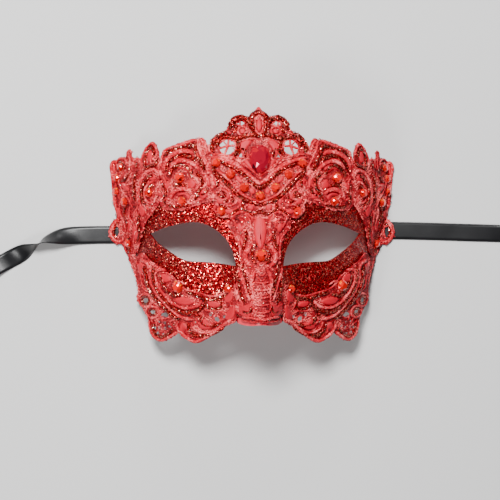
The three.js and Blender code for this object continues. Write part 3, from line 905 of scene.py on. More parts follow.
CHEEK = {
    "edge": [
        (66.2, -17.6), (70.6, -17), (68.2, -21.6), (65.6, -29), (64.2, -35), (64.9, -41), (62, -45.6),
        (60.4, -48.6), (58.8, -51.6), (58.2, -55.6), (57.2, -60), (54.4, -63.2), (50.5, -63.8),
        (45.5, -60.8), (41.4, -58.4), (38.5, -62), (33, -64.3), (27.5, -61.5), (21, -56.8), (16, -53.6),
        (12.3, -51.4), (12.2, -46), (12.3, -38), (12.6, -31.6), (16, -36), (24, -38.5), (31.5, -37),
        (40, -34.5), (46, -28.5), (51, -25), (57, -20), (62, -15.8),
    ],
    "holes": [
        [(60 + 2.5 * np.cos(a), -41.5 + 2.5 * np.sin(a)) for a in np.radians(range(0, 360, 45))],
        [(56.2 + 2.2 * np.cos(a), -47.9 + 2.1 * np.sin(a)) for a in np.radians(range(0, 360, 45))],
        [(22.1 + 1.9 * np.cos(a), -51 + 1.9 * np.sin(a)) for a in np.radians(range(0, 360, 45))],
        [(18.3 + 1.1 * np.cos(a), -49.6 + 1.5 * np.sin(a)) for a in np.radians(range(0, 360, 60))],
        [(25.6 + 1.2 * np.cos(a), -48.6 + 1.2 * np.sin(a)) for a in np.radians(range(0, 360, 60))],
        [(49.4, -46.6), (52.4, -49.6), (49.6, -51.4), (46.6, -48.8)],
        *[[(x + np.cos(a), y + np.sin(a)) for a in np.radians(range(0, 360, 60))]
          for x, y in ((50.4, -53.8), (53.6, -53.4), (47.4, -55.6), (50, -57), (52.9, -56.6), (55.6, -57),
                       (50.6, -60.2), (53.7, -59.8))],
    ],
    "ropes": [
        (2.0, [(63, -19), (59.4, -20.6), (57.4, -24), (57.4, -28), (56.6, -33), (53.4, -38.6), (48.6, -44),
               (44, -48.2), (39.5, -50.6), (34.5, -51.4)]),
        (1.8, [(49, -24.9), (52.4, -24.4), (54.6, -26.4), (54.2, -30.6), (52, -35.6), (48.8, -39.4),
               (45.8, -42.6), (41, -44.8), (36, -45), (32, -43.4), (30.4, -40.6)]),
        (2.2, [(13.4, -50.8), (17, -53), (21.5, -56.4), (27.5, -60.8), (33, -63.4), (38, -61.4),
               (41.8, -57.8), (43.6, -54.4)]),
        (1.4, [(35.6, -52.6), (34.8, -55.6), (31.5, -58.2), (27.2, -58.6), (22.6, -56.4), (18.6, -54)]),
        (1.5, [(63.6, -41.6), (62.4, -44.4), (59.9, -45.2), (57.4, -44.3), (56.3, -41.6), (57.3, -39),
               (59.9, -38), (62.5, -38.9), (63.6, -41.6)]),
        (1.5, [(59.6, -48.2), (58.2, -50.6), (55.8, -51.2), (53.4, -50), (52.7, -47.6), (54, -45.4),
               (56.8, -44.8), (59.1, -45.8), (59.6, -48.2)]),
        (1.9, [(58, -53), (57.4, -57.6), (55.4, -61.6), (51.4, -63.6), (47, -61.4), (43.6, -58.6)]),
        (1.2, [(65.4, -19.4), (63.6, -24), (62.4, -29.6), (61.4, -34.8), (58.4, -37)]),
        (1.3, [(28.8, -45.8), (24.6, -46.6), (20.6, -46.4), (17, -48.4), (14.6, -49.6)]),
        (1.2, [(35.4, -46.4), (32.6, -49.2), (32.8, -52.4), (30.2, -54.6)]),
    ],
    "lines": [
        (1.8, [(61.2, -22.2), (59.9, -26.4), (59.2, -31), (57.6, -36), (54.4, -40.6), (50.4, -44.8),
               (46.4, -48.6), (42, -51.8)]),
        (1.7, [(55.6, -23.2), (56, -27.6), (55.2, -31.8), (52.8, -37), (49.6, -41), (46.4, -44.6),
               (41.6, -47), (36.2, -47.6), (31.8, -46.2), (28.8, -43)]),
        (1.5, [(51.8, -27.4), (50.8, -31.8), (48.2, -36.2), (44.4, -38.4), (40.6, -37.6)]),
        (1.5, [(37.4, -53.4), (36.6, -57), (32.6, -60.2), (27.4, -60.2), (22, -58), (18, -55.2)]),
        (1.2, [(61.9, -41.6), (61.2, -43.2), (59.9, -43.7), (58.6, -43.1), (58, -41.6), (58.5, -40.1),
               (59.9, -39.5), (61.3, -40), (61.9, -41.6)]),
        (1.1, [(57.9, -48.1), (57, -49.4), (55.7, -49.6), (54.6, -48.9), (54.3, -47.6), (55, -46.6),
               (56.6, -46.4), (57.6, -47), (57.9, -48.1)]),
        (1.3, [(56, -54.6), (55.6, -58.2), (53.8, -61), (51, -61.6), (47.4, -59.4), (45.2, -57)]),
        (1.4, [(13.6, -33.4), (17.4, -38), (24, -40.4), (29, -39.6), (33.8, -37.6), (39, -36.4)]),
        (1.2, [(28.6, -41), (26.4, -44.8), (22, -45.6), (19.4, -43.6), (20.6, -40.4), (24.4, -39.6),
               (28.6, -41)]),
        (1.3, [(34.6, -48), (30.8, -50.4), (29.6, -53.6), (25, -54.8), (20.6, -53.4)]),
    ],
    "threads": [
        (0.8, [(54.4, -51), (52.8, -55)]),
        (0.8, [(52.4, -49.4), (50.6, -53)]),
        (0.8, [(57.4, -51.4), (55.8, -54.8)]),
        (0.9, [(16.6, -38), (19, -40.6), (18.4, -44), (16.4, -46.6)]),
        (0.9, [(14, -36), (15.4, -39.4), (14.6, -43), (13.4, -46)]),
        (0.9, [(22, -49), (20.2, -50.6), (20.4, -52.8)]),
        (0.8, [(24, -52.4), (25.4, -50.4), (27.8, -49.4)]),
        (0.7, [(46.2, -52.6), (44, -51.8), (42.8, -54), (44.8, -55.8), (46.4, -54.6), (46.2, -52.6)]),
        (0.9, [(60.6, -34), (62.4, -31.6), (61, -28.4), (62.8, -25.6)]),
        (0.9, [(45, -31.6), (42, -30.6), (38.6, -32.6)]),
    ],
    "petals": [
        [(52.6, -28), (50.6, -26.6), (47.6, -28.2), (46.6, -30.4), (49.4, -31.4), (52, -30.6)],
        [(44.6, -40.4), (41.6, -39.2), (36.8, -39.8), (34.2, -42), (37.4, -43.6), (42.2, -43.2)],
        [(27, -41.2), (24, -40.8), (21, -42.2), (20.8, -44.2), (24, -44.6), (26.6, -43.6)],
        [(31, -52.6), (28.4, -50.8), (26.6, -53), (22.8, -54.2), (26.6, -56.8), (31, -56.2)],
        [(40.4, -53), (37.6, -55.6), (38, -59), (34.6, -61.4), (39, -61), (42, -57)],
        [(32.4, -60.8), (28, -60.6), (24.2, -58.8), (27.8, -61.2), (32.6, -62.6)],
        [(64.2, -22.4), (62.6, -20.6), (61, -22.6), (61.6, -26.6), (63.6, -26.2)],
        [(18.4, -38.2), (15.6, -36.4), (14.6, -33.8), (13.6, -37.4), (14.6, -41.4), (17.2, -41.8)],
        [(13, -43), (16, -46), (17.6, -50.4), (14.6, -51.4), (12.8, -48.4)],
    ],
}
make_lace("cheek", "cheek_lace", **CHEEK, paired=True)


# ---- temple lace ----
# Ruffled lace at the side of each eye: a double C-scroll round its stone, a leaf and a cluster of loops
# along the top, folds down the side, and an open loop over the ribbon.

TEMPLE = {
    "edge": [
        (53.2, 12.4), (57, 8), (61, 2), (63, -6), (65, -13), (67, -16.4), (71.6, -15.4), (73.4, -10.4),
        (78, -9.4), (81, -6), (81.2, -2), (79.5, 2.2), (76.8, 4.6), (77.4, 8), (79, 14), (79.6, 21),
        (80.4, 29), (81, 34.2), (79.4, 36.8), (76.6, 37), (74, 38.4), (71.4, 38.2), (70.4, 42), (68.8, 42),
        (67.8, 37.2), (62.4, 37.4), (58.6, 44.6), (56.3, 45.6), (54.4, 42), (53.2, 37.4), (53.2, 24),
    ],
    "holes": [[(77.2 + 1.7 * np.cos(a), -3.2 + 3.7 * np.sin(a)) for a in np.radians(range(0, 360, 45))]],
    "ropes": [
        (2.2, [(53.6, 26.6), (53.8, 29.2), (56.6, 30.4), (60, 28.6), (62.6, 24.4), (64, 19.4),
               (63.8, 14.2), (62.6, 10.4)]),
        (1.5, [(56, 24.4), (58.6, 22.8), (60.6, 19.8), (60.8, 15.8), (58.8, 12.8), (55.8, 13),
               (54.6, 16)]),
        (1.6, [(53.8, 38.6), (54.9, 43), (57, 45), (59.4, 43.2), (61.4, 39.8), (62.6, 35.4), (62.4, 32)]),
        (1.4, [(67, 32), (66.8, 35.6), (65.3, 37.2), (63.6, 36.2), (63.2, 33.4)]),
        (1.5, [(69.4, 31), (68.6, 34.6), (69.4, 40.6, 0.7)]),
        (1.5, [(70.8, 33.4), (70.8, 36.4), (72.8, 38), (75.2, 37.6), (76.6, 35.6), (76.4, 33)]),
        (1.6, [(76.8, 33.6), (77.6, 35.8), (79.4, 36), (80.6, 33.4), (79.8, 29.6), (79, 24)]),
        (1.3, [(75.6, 28), (74.4, 22.6), (72.4, 18.6), (69.8, 15.2), (67.2, 9.8)]),
        (1.5, [(73.6, 23.6), (70.6, 22.8), (68, 23.4), (66.2, 25)]),
        (1.4, [(72.6, 17), (74.4, 12), (73.8, 6.4), (71.8, 1.4), (71, -3.6)]),
        (1.6, [(68.8, 11), (69, 6), (67.6, 1.6), (68.6, -3)]),
        (1.5, [(65.8, 9), (66.2, 4.2), (65, -0.4), (66, -5), (66.8, -10)]),
        (1.8, [(62.4, 12.4), (60.2, 10.6), (58.4, 8.4)]),
        (1.7, [(75.4, 3.4), (78.2, 2), (80.2, -1.4), (80.4, -5.4), (78, -8.4), (75, -8.6), (73.2, -6.4)]),
        (1.3, [(77.8, 21), (77.6, 14.4), (76, 8.6), (74.8, 4.2)]),
    ],
    "lines": [
        (1.7, [(55, 27.2), (58.2, 26.6), (61, 22.8), (62.3, 18.6), (61.9, 14), (60, 11)]),
        (1.4, [(55.4, 22), (57.8, 21), (59, 18)]),
        (1.5, [(55.6, 38), (56.4, 42), (57.8, 42.4), (59.4, 39.8), (60.6, 36), (60.6, 32)]),
        (1.3, [(65.2, 31.8), (65.2, 34.8)]),
        (1.4, [(71.6, 31.4), (72.4, 35), (74.6, 35.6), (75, 32.6)]),
        (1.2, [(78, 32.6), (78.4, 34)]),
        (1.5, [(69.4, 29), (71.4, 25.8), (74, 25.4)]),
        (1.5, [(65.2, 29.6), (66.4, 24.4), (66.4, 19), (66, 13.6)]),
        (1.4, [(71, 12), (72, 6.4), (70, 1.8), (69.6, -2.4)]),
        (1.4, [(63.8, 7), (64, 1.8), (63.4, -3.6), (64.6, -9)]),
        (1.2, [(76.2, 1), (77.8, 1.6), (79, -1.4), (79.2, -4.8), (77.8, -7)]),
        (1.4, [(70, -6), (69, -12), (68.6, -15)]),
        (1.5, [(54.2, 36.6), (54.6, 33.6), (57.6, 32.6), (61, 31)]),
    ],
    "threads": [
        (0.9, [(57.4, 33.8), (57.6, 37.6), (57.8, 41)]),
        (0.8, [(76.8, 26), (76.2, 20), (74.6, 15)]),
        (0.8, [(70.6, 21), (68.8, 17), (68, 13)]),
        (0.8, [(73.4, -1), (74.4, -3.4), (73.4, -5.4)]),
        (0.8, [(78.6, 27), (77.8, 23.6), (78.4, 18.6), (77.6, 12)]),
        (0.8, [(67.8, 30), (68.4, 26.6), (70.6, 24.6)]),
        (0.8, [(64.4, 12), (65, 8), (64.2, 4)]),
        (0.8, [(71.8, 28.4), (73.2, 30.4), (75.2, 30.2)]),
    ],
    "petals": [
        [(59, 35), (57, 36), (56.6, 39.6), (58, 41.4), (59.4, 39)],
        [(75, 34.8), (73.8, 36.6), (72, 35.8), (72.4, 33.4), (74.6, 32.8)],
        [(57.4, 24.6), (59.2, 26), (56.4, 28.4), (54.8, 27), (55.4, 25)],
        [(63.2, 12), (60.6, 8.6), (62, 5), (64, 8.4)],
        [(72.6, 24.6), (69.4, 20.4), (71, 19.4), (73.6, 22)],
        [(69.8, 3.6), (68.4, 0.4), (68.8, -3.6), (70.6, -0.6)],
        [(75.4, 10.6), (74.2, 8), (74.4, 4.6), (75.8, 7)],
        [(66.6, 0.6), (64.6, -4.8), (65.6, -8.4), (67.4, -4)],
        [(79.8, 33.6), (78.2, 34.8), (77.8, 31.6), (79, 29.4)],
    ],
}
make_lace("temple", "temple_lace", **TEMPLE, paired=True)


# ---- brow lace ----
# An arched fan over each eye, of three ropes one inside the other with glitter piped between them, and
# two stones under it in small leaves.

BROW = {
    "edge": [
        (25.5, 13), (31, 11.8), (38, 9.4), (46, 8.8), (52.2, 11), (52.2, 24), (52.2, 37.4), (46, 42.8),
        (38, 45.8), (33.3, 46.8), (33.2, 42.8), (30.8, 36.4), (28.2, 30.8), (25.6, 24),
    ],
    "holes": [],
    "ropes": [
        (1.8, [(52, 33), (51.4, 37.2), (49.8, 40.8), (46.4, 42.4), (42.4, 43.2), (38, 44.6), (34, 46.2)]),
        (3.0, [(50.6, 28.6, 0.6), (49.6, 33.6), (46.6, 37.6), (42, 39.8), (37.6, 39.9), (34.4, 38.4, 0.8)]),
        (2.4, [(47.2, 29.4, 0.7), (45.4, 33), (41.6, 34.8), (37, 34), (33.6, 31.6), (31.8, 28.8, 0.7)]),
        (2.4, [(47.2, 13.4, 0.6), (45.8, 17), (42.2, 19.4), (38, 19), (35.2, 16.4, 0.7)]),
        (1.3, [(47.4, 13.8), (50, 14.6), (51.4, 12.4)]),
        (1.4, [(51, 26.6), (49.4, 23), (50.4, 19.2), (51.4, 16)]),
        (1.4, [(36.6, 27.4), (33.6, 25), (32.4, 21.2), (34.6, 18)]),
        (1.3, [(38.8, 12.6), (36, 11.8), (32.4, 13.4), (29.4, 14)]),
        (1.5, [(30.6, 20), (28, 22.4), (28.4, 26.4), (30.8, 28.4)]),
        (1.2, [(45.6, 21.2), (48.2, 20.4), (48.8, 17.6)]),
    ],
    "lines": [
        (1.8, [(50.2, 38), (46.6, 40.6), (42, 41.7), (37.4, 42.6), (34.6, 43.4), (33.8, 40.6),
               (32.4, 36.6), (30.4, 32.6), (29, 29.6)]),
        (1.6, [(49.6, 29.6), (47.8, 34.2), (44.8, 36.7), (40.6, 37.4), (36.4, 36.8), (33.6, 34.6)]),
        (1.6, [(47.4, 26.4), (46.8, 29.4), (43.8, 32), (39.4, 32), (36.8, 29.8), (35.8, 26.8)]),
        (1.4, [(38.8, 21.6), (42, 21.9), (45.6, 21.4)]),
        (1.5, [(51.2, 22.8), (49.4, 18.2), (50.6, 14.8), (49.6, 11.6)]),
        (1.4, [(33.8, 28), (30.8, 25.2), (30.4, 21.2), (32.6, 17), (34.2, 13)]),
        (1.4, [(27.4, 20), (28.8, 17.2), (32, 15.6)]),
        (1.3, [(48.6, 11), (44.6, 10.2), (40, 10.6), (36.2, 11)]),
    ],
    "threads": [
        (0.8, [(34.6, 24.4), (37.2, 23.4), (37.8, 20.4)]),
        (0.8, [(47.6, 24.2), (49.8, 26.6), (49, 29)]),
        (0.9, [(26.8, 16), (29.6, 17.6), (29.4, 20.8)]),
        (0.9, [(44.6, 14), (44.6, 11.6), (41.4, 10.4), (38.4, 11.8)]),
        (0.8, [(48.6, 31), (51, 31.4)]),
        (0.8, [(35.4, 45.2), (36.8, 43.4)]),
        (0.8, [(41.8, 44), (42.6, 42.4)]),
        (0.8, [(47.6, 42), (47.4, 40.4)]),
    ],
    "petals": [
        [(42.4, 17.4), (39.6, 17.6), (36.8, 15.6), (38, 13.8), (40, 16), (43.2, 16)],
        [(35.4, 31), (37.4, 28.6), (40.6, 30.4), (43.6, 30.2), (41.4, 33.2), (37.8, 33)],
        [(33.6, 22.4), (35.6, 19.6), (38, 21.4), (36.4, 25)],
        [(48.6, 23.4), (47.2, 21.8), (49.2, 19.4), (50.6, 21)],
        [(27, 20), (29.4, 24.4), (28, 27), (26.2, 23.6)],
        [(28.6, 14.4), (31.8, 15), (30.8, 18.6), (27.8, 17.4)],
        [(45.6, 35.2), (42, 36.6), (37.6, 36), (41.6, 35.4)],
    ],
}
make_lace("brow", "brow_lace", **BROW, paired=True)


# ---- nose lace ----
# A narrow piece down the nose: a smooth strip at the bridge, two curled leaves beside the nose stone, a
# ladder of short ribs towards the tip, and satin triangles over the nostrils.

NOSE = {
    "edge": [
        (0, -51.6), (6, -51.8), (9.6, -50.6), (11.2, -46), (11.2, -39), (11.4, -31), (9.8, -25),
        (9.4, -18), (10.6, -12), (13.4, -5), (17, 1), (14, 2.2), (7, 1.8), (0, 1.7),
    ],
    "holes": [],
    "ropes": [
        (3.2, [(3.4, -10.4, 0.4), (5.6, -13.6, 0.9), (7, -17), (6.2, -20.6, 0.9), (3.8, -23.4, 0.5)]),
        (2.6, [(2.6, -24.4, 0.6), (3.6, -28, 1.1), (4.4, -32, 0.8), (4.2, -35.2, 0.4)]),
        (1.6, [(11, -23), (9.8, -27.4), (8, -32), (6.4, -36.8), (5.2, -41)]),
        (1.4, [(8.4, 6), (6, 3.6), (5, 0.6), (4.8, -3.2), (5.2, -6.6), (3.4, -10)]),
        (1.4, [(13, -4.4), (10.8, -8.4), (10, -13), (9.8, -18)]),
        (1.6, [(0, -50.4), (4.6, -49.6), (9, -49.4)]),
        (1.2, [(3.9, -30.8), (3.8, -36), (3.8, -41), (3.6, -46.6)]),
        (1.4, [(15.4, 6), (13.6, 2), (11.4, -1.6), (8.2, -1.4), (8.4, 1.6), (11, 3.4)]),
        (1.3, [(9.4, -40.6), (8.4, -44.6), (10, -47.6)]),
    ],
    "lines": [
        (1.4, [(8.4, -21), (8.2, -25), (6.6, -30), (5.8, -35), (5, -38)]),
        (1.4, [(7.2, -3), (6.8, -6.6), (7.8, -10.6), (8.6, -14.6)]),
        (1.3, [(2, -10.4), (3.6, -14.4), (3.8, -18.4), (2.4, -21.6)]),
        (1.4, [(10.6, -26.6), (10.4, -32), (9.4, -37.4), (7.4, -41.6)]),
        (1.3, [(4.2, -43), (5.4, -46.8), (9.4, -46)]),
    ],
    "threads": [
        *[(1.1, [(-3.6, -31 - 3.8 * rib), (0, -31.6 - 3.8 * rib), (3.6, -31 - 3.8 * rib)]) for rib in range(5)],
        *[(0.9, [(-2, -20.6 - 2.6 * link), (0, -22.6 - 2.6 * link), (2, -20.6 - 2.6 * link)]) for link in range(4)],
        (0.8, [(9.6, -20), (7.8, -23), (9, -27)]),
        (0.8, [(6.4, -9), (4.6, -11.6), (6.6, -12.6)]),
    ],
    "petals": [
        [(0, 4.6), (2.2, 3.6), (3.1, 0.4), (3.3, -3.4), (2.6, -8), (1, -12.6), (0, -13.4), (-1, -12.6), (-2.6, -8),
         (-3.3, -3.4), (-3.1, 0.4), (-2.2, 3.6)],
        [(4.4, -41.4), (7.6, -43.4), (10.4, -42.2), (10.6, -46.6), (8.6, -48.8), (5, -48.6)],
        [(9.6, -6), (8.4, -9), (8.6, -12), (10, -9)],
        [(10.4, 1), (12.4, -0.6), (10.6, -4), (8.6, -2.4)],
    ],
}
make_lace("nose", "nose_lace", **NOSE, paired=False)


# ---- forehead lace ----
# The broad middle piece: a wide V-shaped band under the crown that carries a row of stones, a net leg up
# each side of it, and a thicket of small curls and petals down to the bridge of the nose.

FOREHEAD = {
    "edge": [
        (0, 2.6), (8, 3), (16, 4.2), (22, 7.6), (24.6, 13), (24.8, 24), (27.4, 31), (30, 36.6), (32.4, 43),
        (32.3, 46.8), (30.4, 47), (28.4, 44.6), (27.3, 41.4), (26.6, 37.8), (23.2, 37.4), (18.6, 36),
        (14.2, 34.6), (9.8, 32), (5, 27.6), (0, 24.7),
    ],
    "holes": [],
    "ropes": [
        (2.4, [(0, 22.4), (2.8, 24), (5.6, 26.6), (9.4, 30), (13.6, 32.6), (18, 34.6), (22.4, 35.9),
               (26, 36.4)]),
        (1.5, [(0, 12.6), (3.4, 13.4), (7, 15), (10.8, 17.6), (13.4, 20.8), (16.4, 24), (20, 27.4),
               (23, 30)]),
        (1.5, [(32.2, 46.4), (31.4, 42), (29.6, 37.6), (27.4, 33.2), (25.4, 29.6)]),
        (1.5, [(31.4, 46.6), (29.4, 44), (28.2, 41), (27.6, 38)]),
        (1.5, [(15.6, 3.2), (12.8, 5.8), (9.4, 7), (6.2, 5.6), (3.8, 3.4), (1.6, 3.6), (0, 4.8)]),
        (1.2, [(2.4, 9.6), (5, 11), (7.6, 10), (7.4, 7.8), (5.2, 7.4), (4.6, 9.2)]),
        (1.2, [(22.4, 25), (20, 21.6), (21.6, 18), (24.2, 17.4)]),
        (1.3, [(18.6, 20.6), (16, 17.4), (17.6, 14.4), (20.8, 13.6), (23.6, 15)]),
        (1.2, [(14.8, 17.2), (12, 14.4), (13, 11.6), (16, 10.4), (18.4, 11.6)]),
        (1.2, [(10.6, 13.2), (10.6, 10.6), (13.4, 8.4), (17.2, 7.6)]),
        (1.4, [(23.2, 11.2), (23.8, 8.4), (20.8, 4.8), (17, 4.4)]),
    ],
    "lines": [
        (1.6, [(0, 20), (2.2, 20.8), (4.4, 23), (8, 26.6), (12, 29.6), (16.6, 32), (20.4, 33.4)]),
        (1.6, [(0, 10.8), (4, 12), (8, 13.4), (11.8, 16), (14.6, 19.2), (17.8, 22.6), (21, 25.8),
               (24.4, 28.4)]),
        (1.4, [(25.2, 31.6), (23.4, 27.6), (22.4, 23.4), (22.8, 20)]),
        (1.3, [(20, 19), (18.2, 16.8), (19.4, 15.2), (22.6, 16.6)]),
        (1.3, [(15.6, 15.4), (14.4, 13.4), (16, 12.2), (18.4, 13)]),
        (1.3, [(0, 7), (2.2, 6.2), (4.2, 5.6), (6.6, 7), (9.6, 8.6)]),
        (1.3, [(11.2, 9), (12.8, 7.2), (15.6, 5.6)]),
        (1.2, [(8.6, 12.4), (9.2, 9.8), (8.8, 8.4)]),
        (1.2, [(21.8, 12), (20, 10), (17.6, 9.2)]),
    ],
    "threads": [
        *[(0.8, [(27.2 + 0.62 * bar, 36.2 + 2.1 * bar), (29.4 + 0.62 * bar, 35.8 + 2.1 * bar)]) for bar in range(5)],
        (0.9, [(2, 18.4), (4.4, 16.8), (4.2, 14.6)]),
        (0.9, [(11, 24.6), (12.8, 22.6), (11.4, 19.4)]),
        (0.9, [(18.4, 29.8), (19.6, 31.2), (22, 31)]),
        (0.9, [(6, 24), (7.6, 22.8), (6.2, 20.8)]),
        (0.9, [(12.4, 28), (14.2, 29.4), (17, 30.6)]),
        (0.9, [(0, 8.4), (1.6, 9.2), (1.2, 11)]),
        (0.8, [(24, 25), (25.4, 22.6), (24, 20.6)]),
        (0.8, [(13, 16.6), (11.6, 15), (12.4, 13)]),
        (0.8, [(19, 7.8), (20.6, 9.4), (22.6, 9)]),
        (0.8, [(4, 1.4), (6.4, 3), (9, 4.4), (12, 3.6)]),
    ],
    "petals": [
        [(17, 13.6), (18.6, 16.6), (21, 19.4), (18.2, 19), (15.6, 16)],
        [(21.4, 21), (24, 22), (24.6, 25), (22.6, 25.6)],
        [(19.6, 11.4), (22.6, 11.8), (22.6, 14.4), (19.6, 13.8)],
        [(13.4, 13.8), (15, 11.2), (17.6, 11.6), (15.6, 14)],
        [(9.6, 12), (11.6, 11.4), (12, 14.4), (10, 14)],
        [(3.4, 8), (6, 8.2), (6.4, 10.4), (3.6, 10.6)],
        [(9, 22.6), (11.6, 23), (13.2, 26), (10.6, 25.8)],
        [(2.6, 17), (4.8, 16.6), (5.8, 19), (3.6, 20)],
        [(13.6, 6.8), (16.6, 6), (19, 7.8), (15.4, 8.6)],
    ],
}
make_lace("forehead", "forehead_lace", **FOREHEAD, paired=False)


# ---- crown lace ----
# The upright lace of the crown: three glittered arches with padded hearts, a round window on each side
# crossed by cords, and cords that part the coral petals round the big stone.

CROWN = {
    "edge": [
        (0, 25.7), (4.5, 28.6), (9.2, 32.9), (13.8, 35.4), (18.2, 36.9), (23, 38.2), (25.8, 38.6),
        (26.4, 41.6), (25.6, 45), (23.6, 47.6), (20.2, 49.6), (17, 51.4), (15.8, 54.6), (13.6, 57.6),
        (9.9, 59), (6.2, 58.2), (4.6, 58.8), (2.8, 60.9), (0, 61.9),
    ],
    "holes": [CROWN_WINDOW, ARCH_WINDOW, FOOT_WINDOW],
    "ropes": [
        (1.2, [(0, 26.6), (3.6, 28.8), (7.2, 31.8), (9.6, 33.8), (6.4, 35.6), (7, 38.6), (9.8, 41.4)]),
        (1.1, [(2, 44.6), (4.4, 46.2), (7, 45.8), (9.4, 43.2), (10, 41)]),
        (1.3, [(12.4, 35.6), (16.6, 37), (20.4, 38), (24.8, 38.2)]),
        (1.3, [(7.4, 48.6), (6.4, 51.2), (8.4, 53), (10.8, 52.4), (11.4, 49.8), (9.6, 48.2), (7.4, 48.6)]),
        (1.2, [(0, 59.2), (1.8, 57), (2.2, 53.4), (1.6, 50.4), (0, 49)]),
    ],
    "lines": [
        (2.3, [(15.4, 51.6), (14.8, 55), (12.6, 57.2), (9.6, 58), (6.4, 57), (4.6, 54.6), (4.8, 51.6)]),
        (2.1, [(0, 61), (2.8, 59.8), (4.6, 57.4), (5.2, 55.2)]),
        (2.1, [(24.2, 38.8), (25.2, 41.4), (24.6, 44.4), (22.8, 46.8), (19.8, 48.6), (16.4, 50)]),
        (1.9, [(22.6, 42), (21.6, 45.8), (18.6, 47.7), (15.2, 47.4), (12, 46.6), (9.6, 47.2), (6.6, 48.2),
               (3.8, 48.8), (0, 47.4)]),
        (1.7, [(12.6, 46), (11.2, 43.6), (11.3, 41), (12.6, 38.4), (13.4, 36.4)]),
        (1.6, [(3.6, 58), (3.4, 54.4), (3.2, 51.4), (4.4, 49.6)]),
        (1.5, [(12.8, 54.6), (12.4, 51.4), (14.6, 49.6)]),
        (1.3, [(7.4, 36.6), (7.9, 40), (9.6, 40.6), (11.4, 38)]),
    ],
    "threads": [
        (1.4, [(12.8, 42.6), (17, 42.4), (21.8, 41)]),
        (1.4, [(16.4, 46.4), (16.8, 42.4), (18.6, 37.8)]),
        (0.9, [(11.2, 42.8), (13.4, 45.4)]),
        (0.9, [(10.4, 57), (10.2, 55), (10, 53.2)]),
        (0.8, [(20.6, 46.4), (18.6, 44.4), (17, 42.4)]),
    ],
    "petals": [
        [(0, 58), (1.2, 56), (1.4, 52.6), (0, 50.4), (-1.4, 52.6), (-1.2, 56)],
        [(8.2, 49.2), (7.4, 51.2), (9, 52.2), (10.4, 51.2), (10, 49.4)],
        [(4.2, 44.6), (7, 46), (9.8, 44.4), (10.8, 41.6), (9.6, 38.6), (7.4, 37), (6.8, 41)],
        [(1, 27.2), (4.6, 29.8), (8, 33), (8.4, 35), (6.4, 34.8), (3.6, 30.6)],
        [(15, 48.6), (17.6, 49.2), (20.6, 48), (18, 50.2), (15.6, 50.4)],
        [(0, 27.2), (3, 28.8), (4, 30.6), (0, 28.6), (-4, 30.6), (-3, 28.8)],
    ],
}
make_lace("crown", "crown_lace", **CROWN, paired=False)


# ---- lace edging and joins ----
# A pale cord is whipped round the outer edge of the lace, and a thin, ragged one where it faces an eye.
# Pieces that meet have a low mesh-like braid along the join, so that the lace reads as one.

EDGING = 1.0
RAGGED = {"width": 0.85, "stray": 0.35, "swell": (0.5, 1.35)}
EYE_SIDE = 12.5
JOIN_BRAID = 1.9
JOIN_RISE = 0.45
JOIN_REACH = 2.0


def runs_of(line, chosen):
    """The unbroken runs of the chosen points of a closed line."""
    if chosen.all():
        return [[*line.tolist(), line[0].tolist()]]
    start = np.argmin(chosen)
    line, chosen = np.roll(line, -start, axis=0), np.roll(chosen, -start)
    ends = np.flatnonzero(np.diff(chosen.astype(int))) + 1
    return [part.tolist() for part in np.split(line, ends)[1::2] if len(part) > 4]


def distance_to(lines, line):
    """How far each point of a line is from the nearest point of the others."""
    return np.min(np.linalg.norm(line[:, None] - np.vstack(lines), axis=2), axis=1)


def ragged(run):
    """Knots for an uneven cord that strays from its run, and swells and thins."""
    knots = np.array(run)[::2]
    knots += rng.normal(0, RAGGED["stray"], knots.shape)
    return np.column_stack([knots, rng.uniform(*RAGGED["swell"], len(knots))]).tolist()


eye_lines = [along(EYE, 0.7, closed=True) * way for way in ((1, 1), (-1, 1))]
closed_lines = {name: along(edge, 0.7, closed=True) for name, (edge, _) in outlines.items()}
sewn_lines = []
for name, line in closed_lines.items():
    paired = outlines[name][1]
    side = "_right" if paired else ""
    others = [other * way for key, other in closed_lines.items() if key != name for way in ((1, 1), (-1, 1))]
    free = distance_to(others, line) >= JOIN_REACH
    by_eye = distance_to(eye_lines, line) < EYE_SIDE
    edging = [(EDGING, run) for run in runs_of(line, free & ~by_eye)]
    edging += [(RAGGED["width"], ragged(run)) for run in runs_of(line, free & by_eye)]
    glue_down(sew_cords(f"{name}_edging{side}", edging, 0.35, 0.95), rope_thread, paired)
    if sewn_lines:
        meets = distance_to(sewn_lines, line) < JOIN_REACH
        joins = [(JOIN_BRAID, ragged(run)) for run in runs_of(line, meets)]
        glue_down(sew_cords(f"{name}_joins{side}", joins, 0.5, JOIN_RISE), net_thread, paired)
    sewn_lines += [line, line * (-1, 1)]


# ---- stones ----
# Foil-backed acrylic stones glued on the lace: thirty small round ones in fiery red, and one big oval in
# deep ruby at the foot of the crown. Each is cut with a flat table and two rings of facets.

STONE_SEAT = 1.75
# TOP_LIT is the random share of each facet's value; the rest paints facets on the crown side, where the key light
# hangs, brighter.
TOP_LIT = 0.7
TABLE_SHADE = 0.58
ROUND_STONES = {
    "crown_foot_stone": (23.2, 33.4, 5), "band_stone": (15.6, 27.2, 5), "forehead_stone": (8.3, 20, 5),
    "bridge_stone": (20.4, 7.3, 5), "brow_stone": (41, 13, 5), "brow_scroll_stone": (42.3, 25.7, 6),
    "temple_scroll_stone": (58.4, 18, 5), "temple_stone": (71.4, 13.5, 5),
    "temple_edge_stone_top": (73.8, 33, 4.5), "temple_edge_stone_middle": (75.8, 27, 4.5),
    "temple_edge_stone_low": (76.2, 19.5, 4.5), "tie_stone": (69.4, -9.5, 4.5),
    "cheek_stone": (46, -33, 6.5), "nostril_stone": (16, -34.6, 4.5),
}
SINGLE_STONES = {"brow_stone_centre": (0, 15.4, 5), "nose_stone": (0, -17.3, 6.5)}


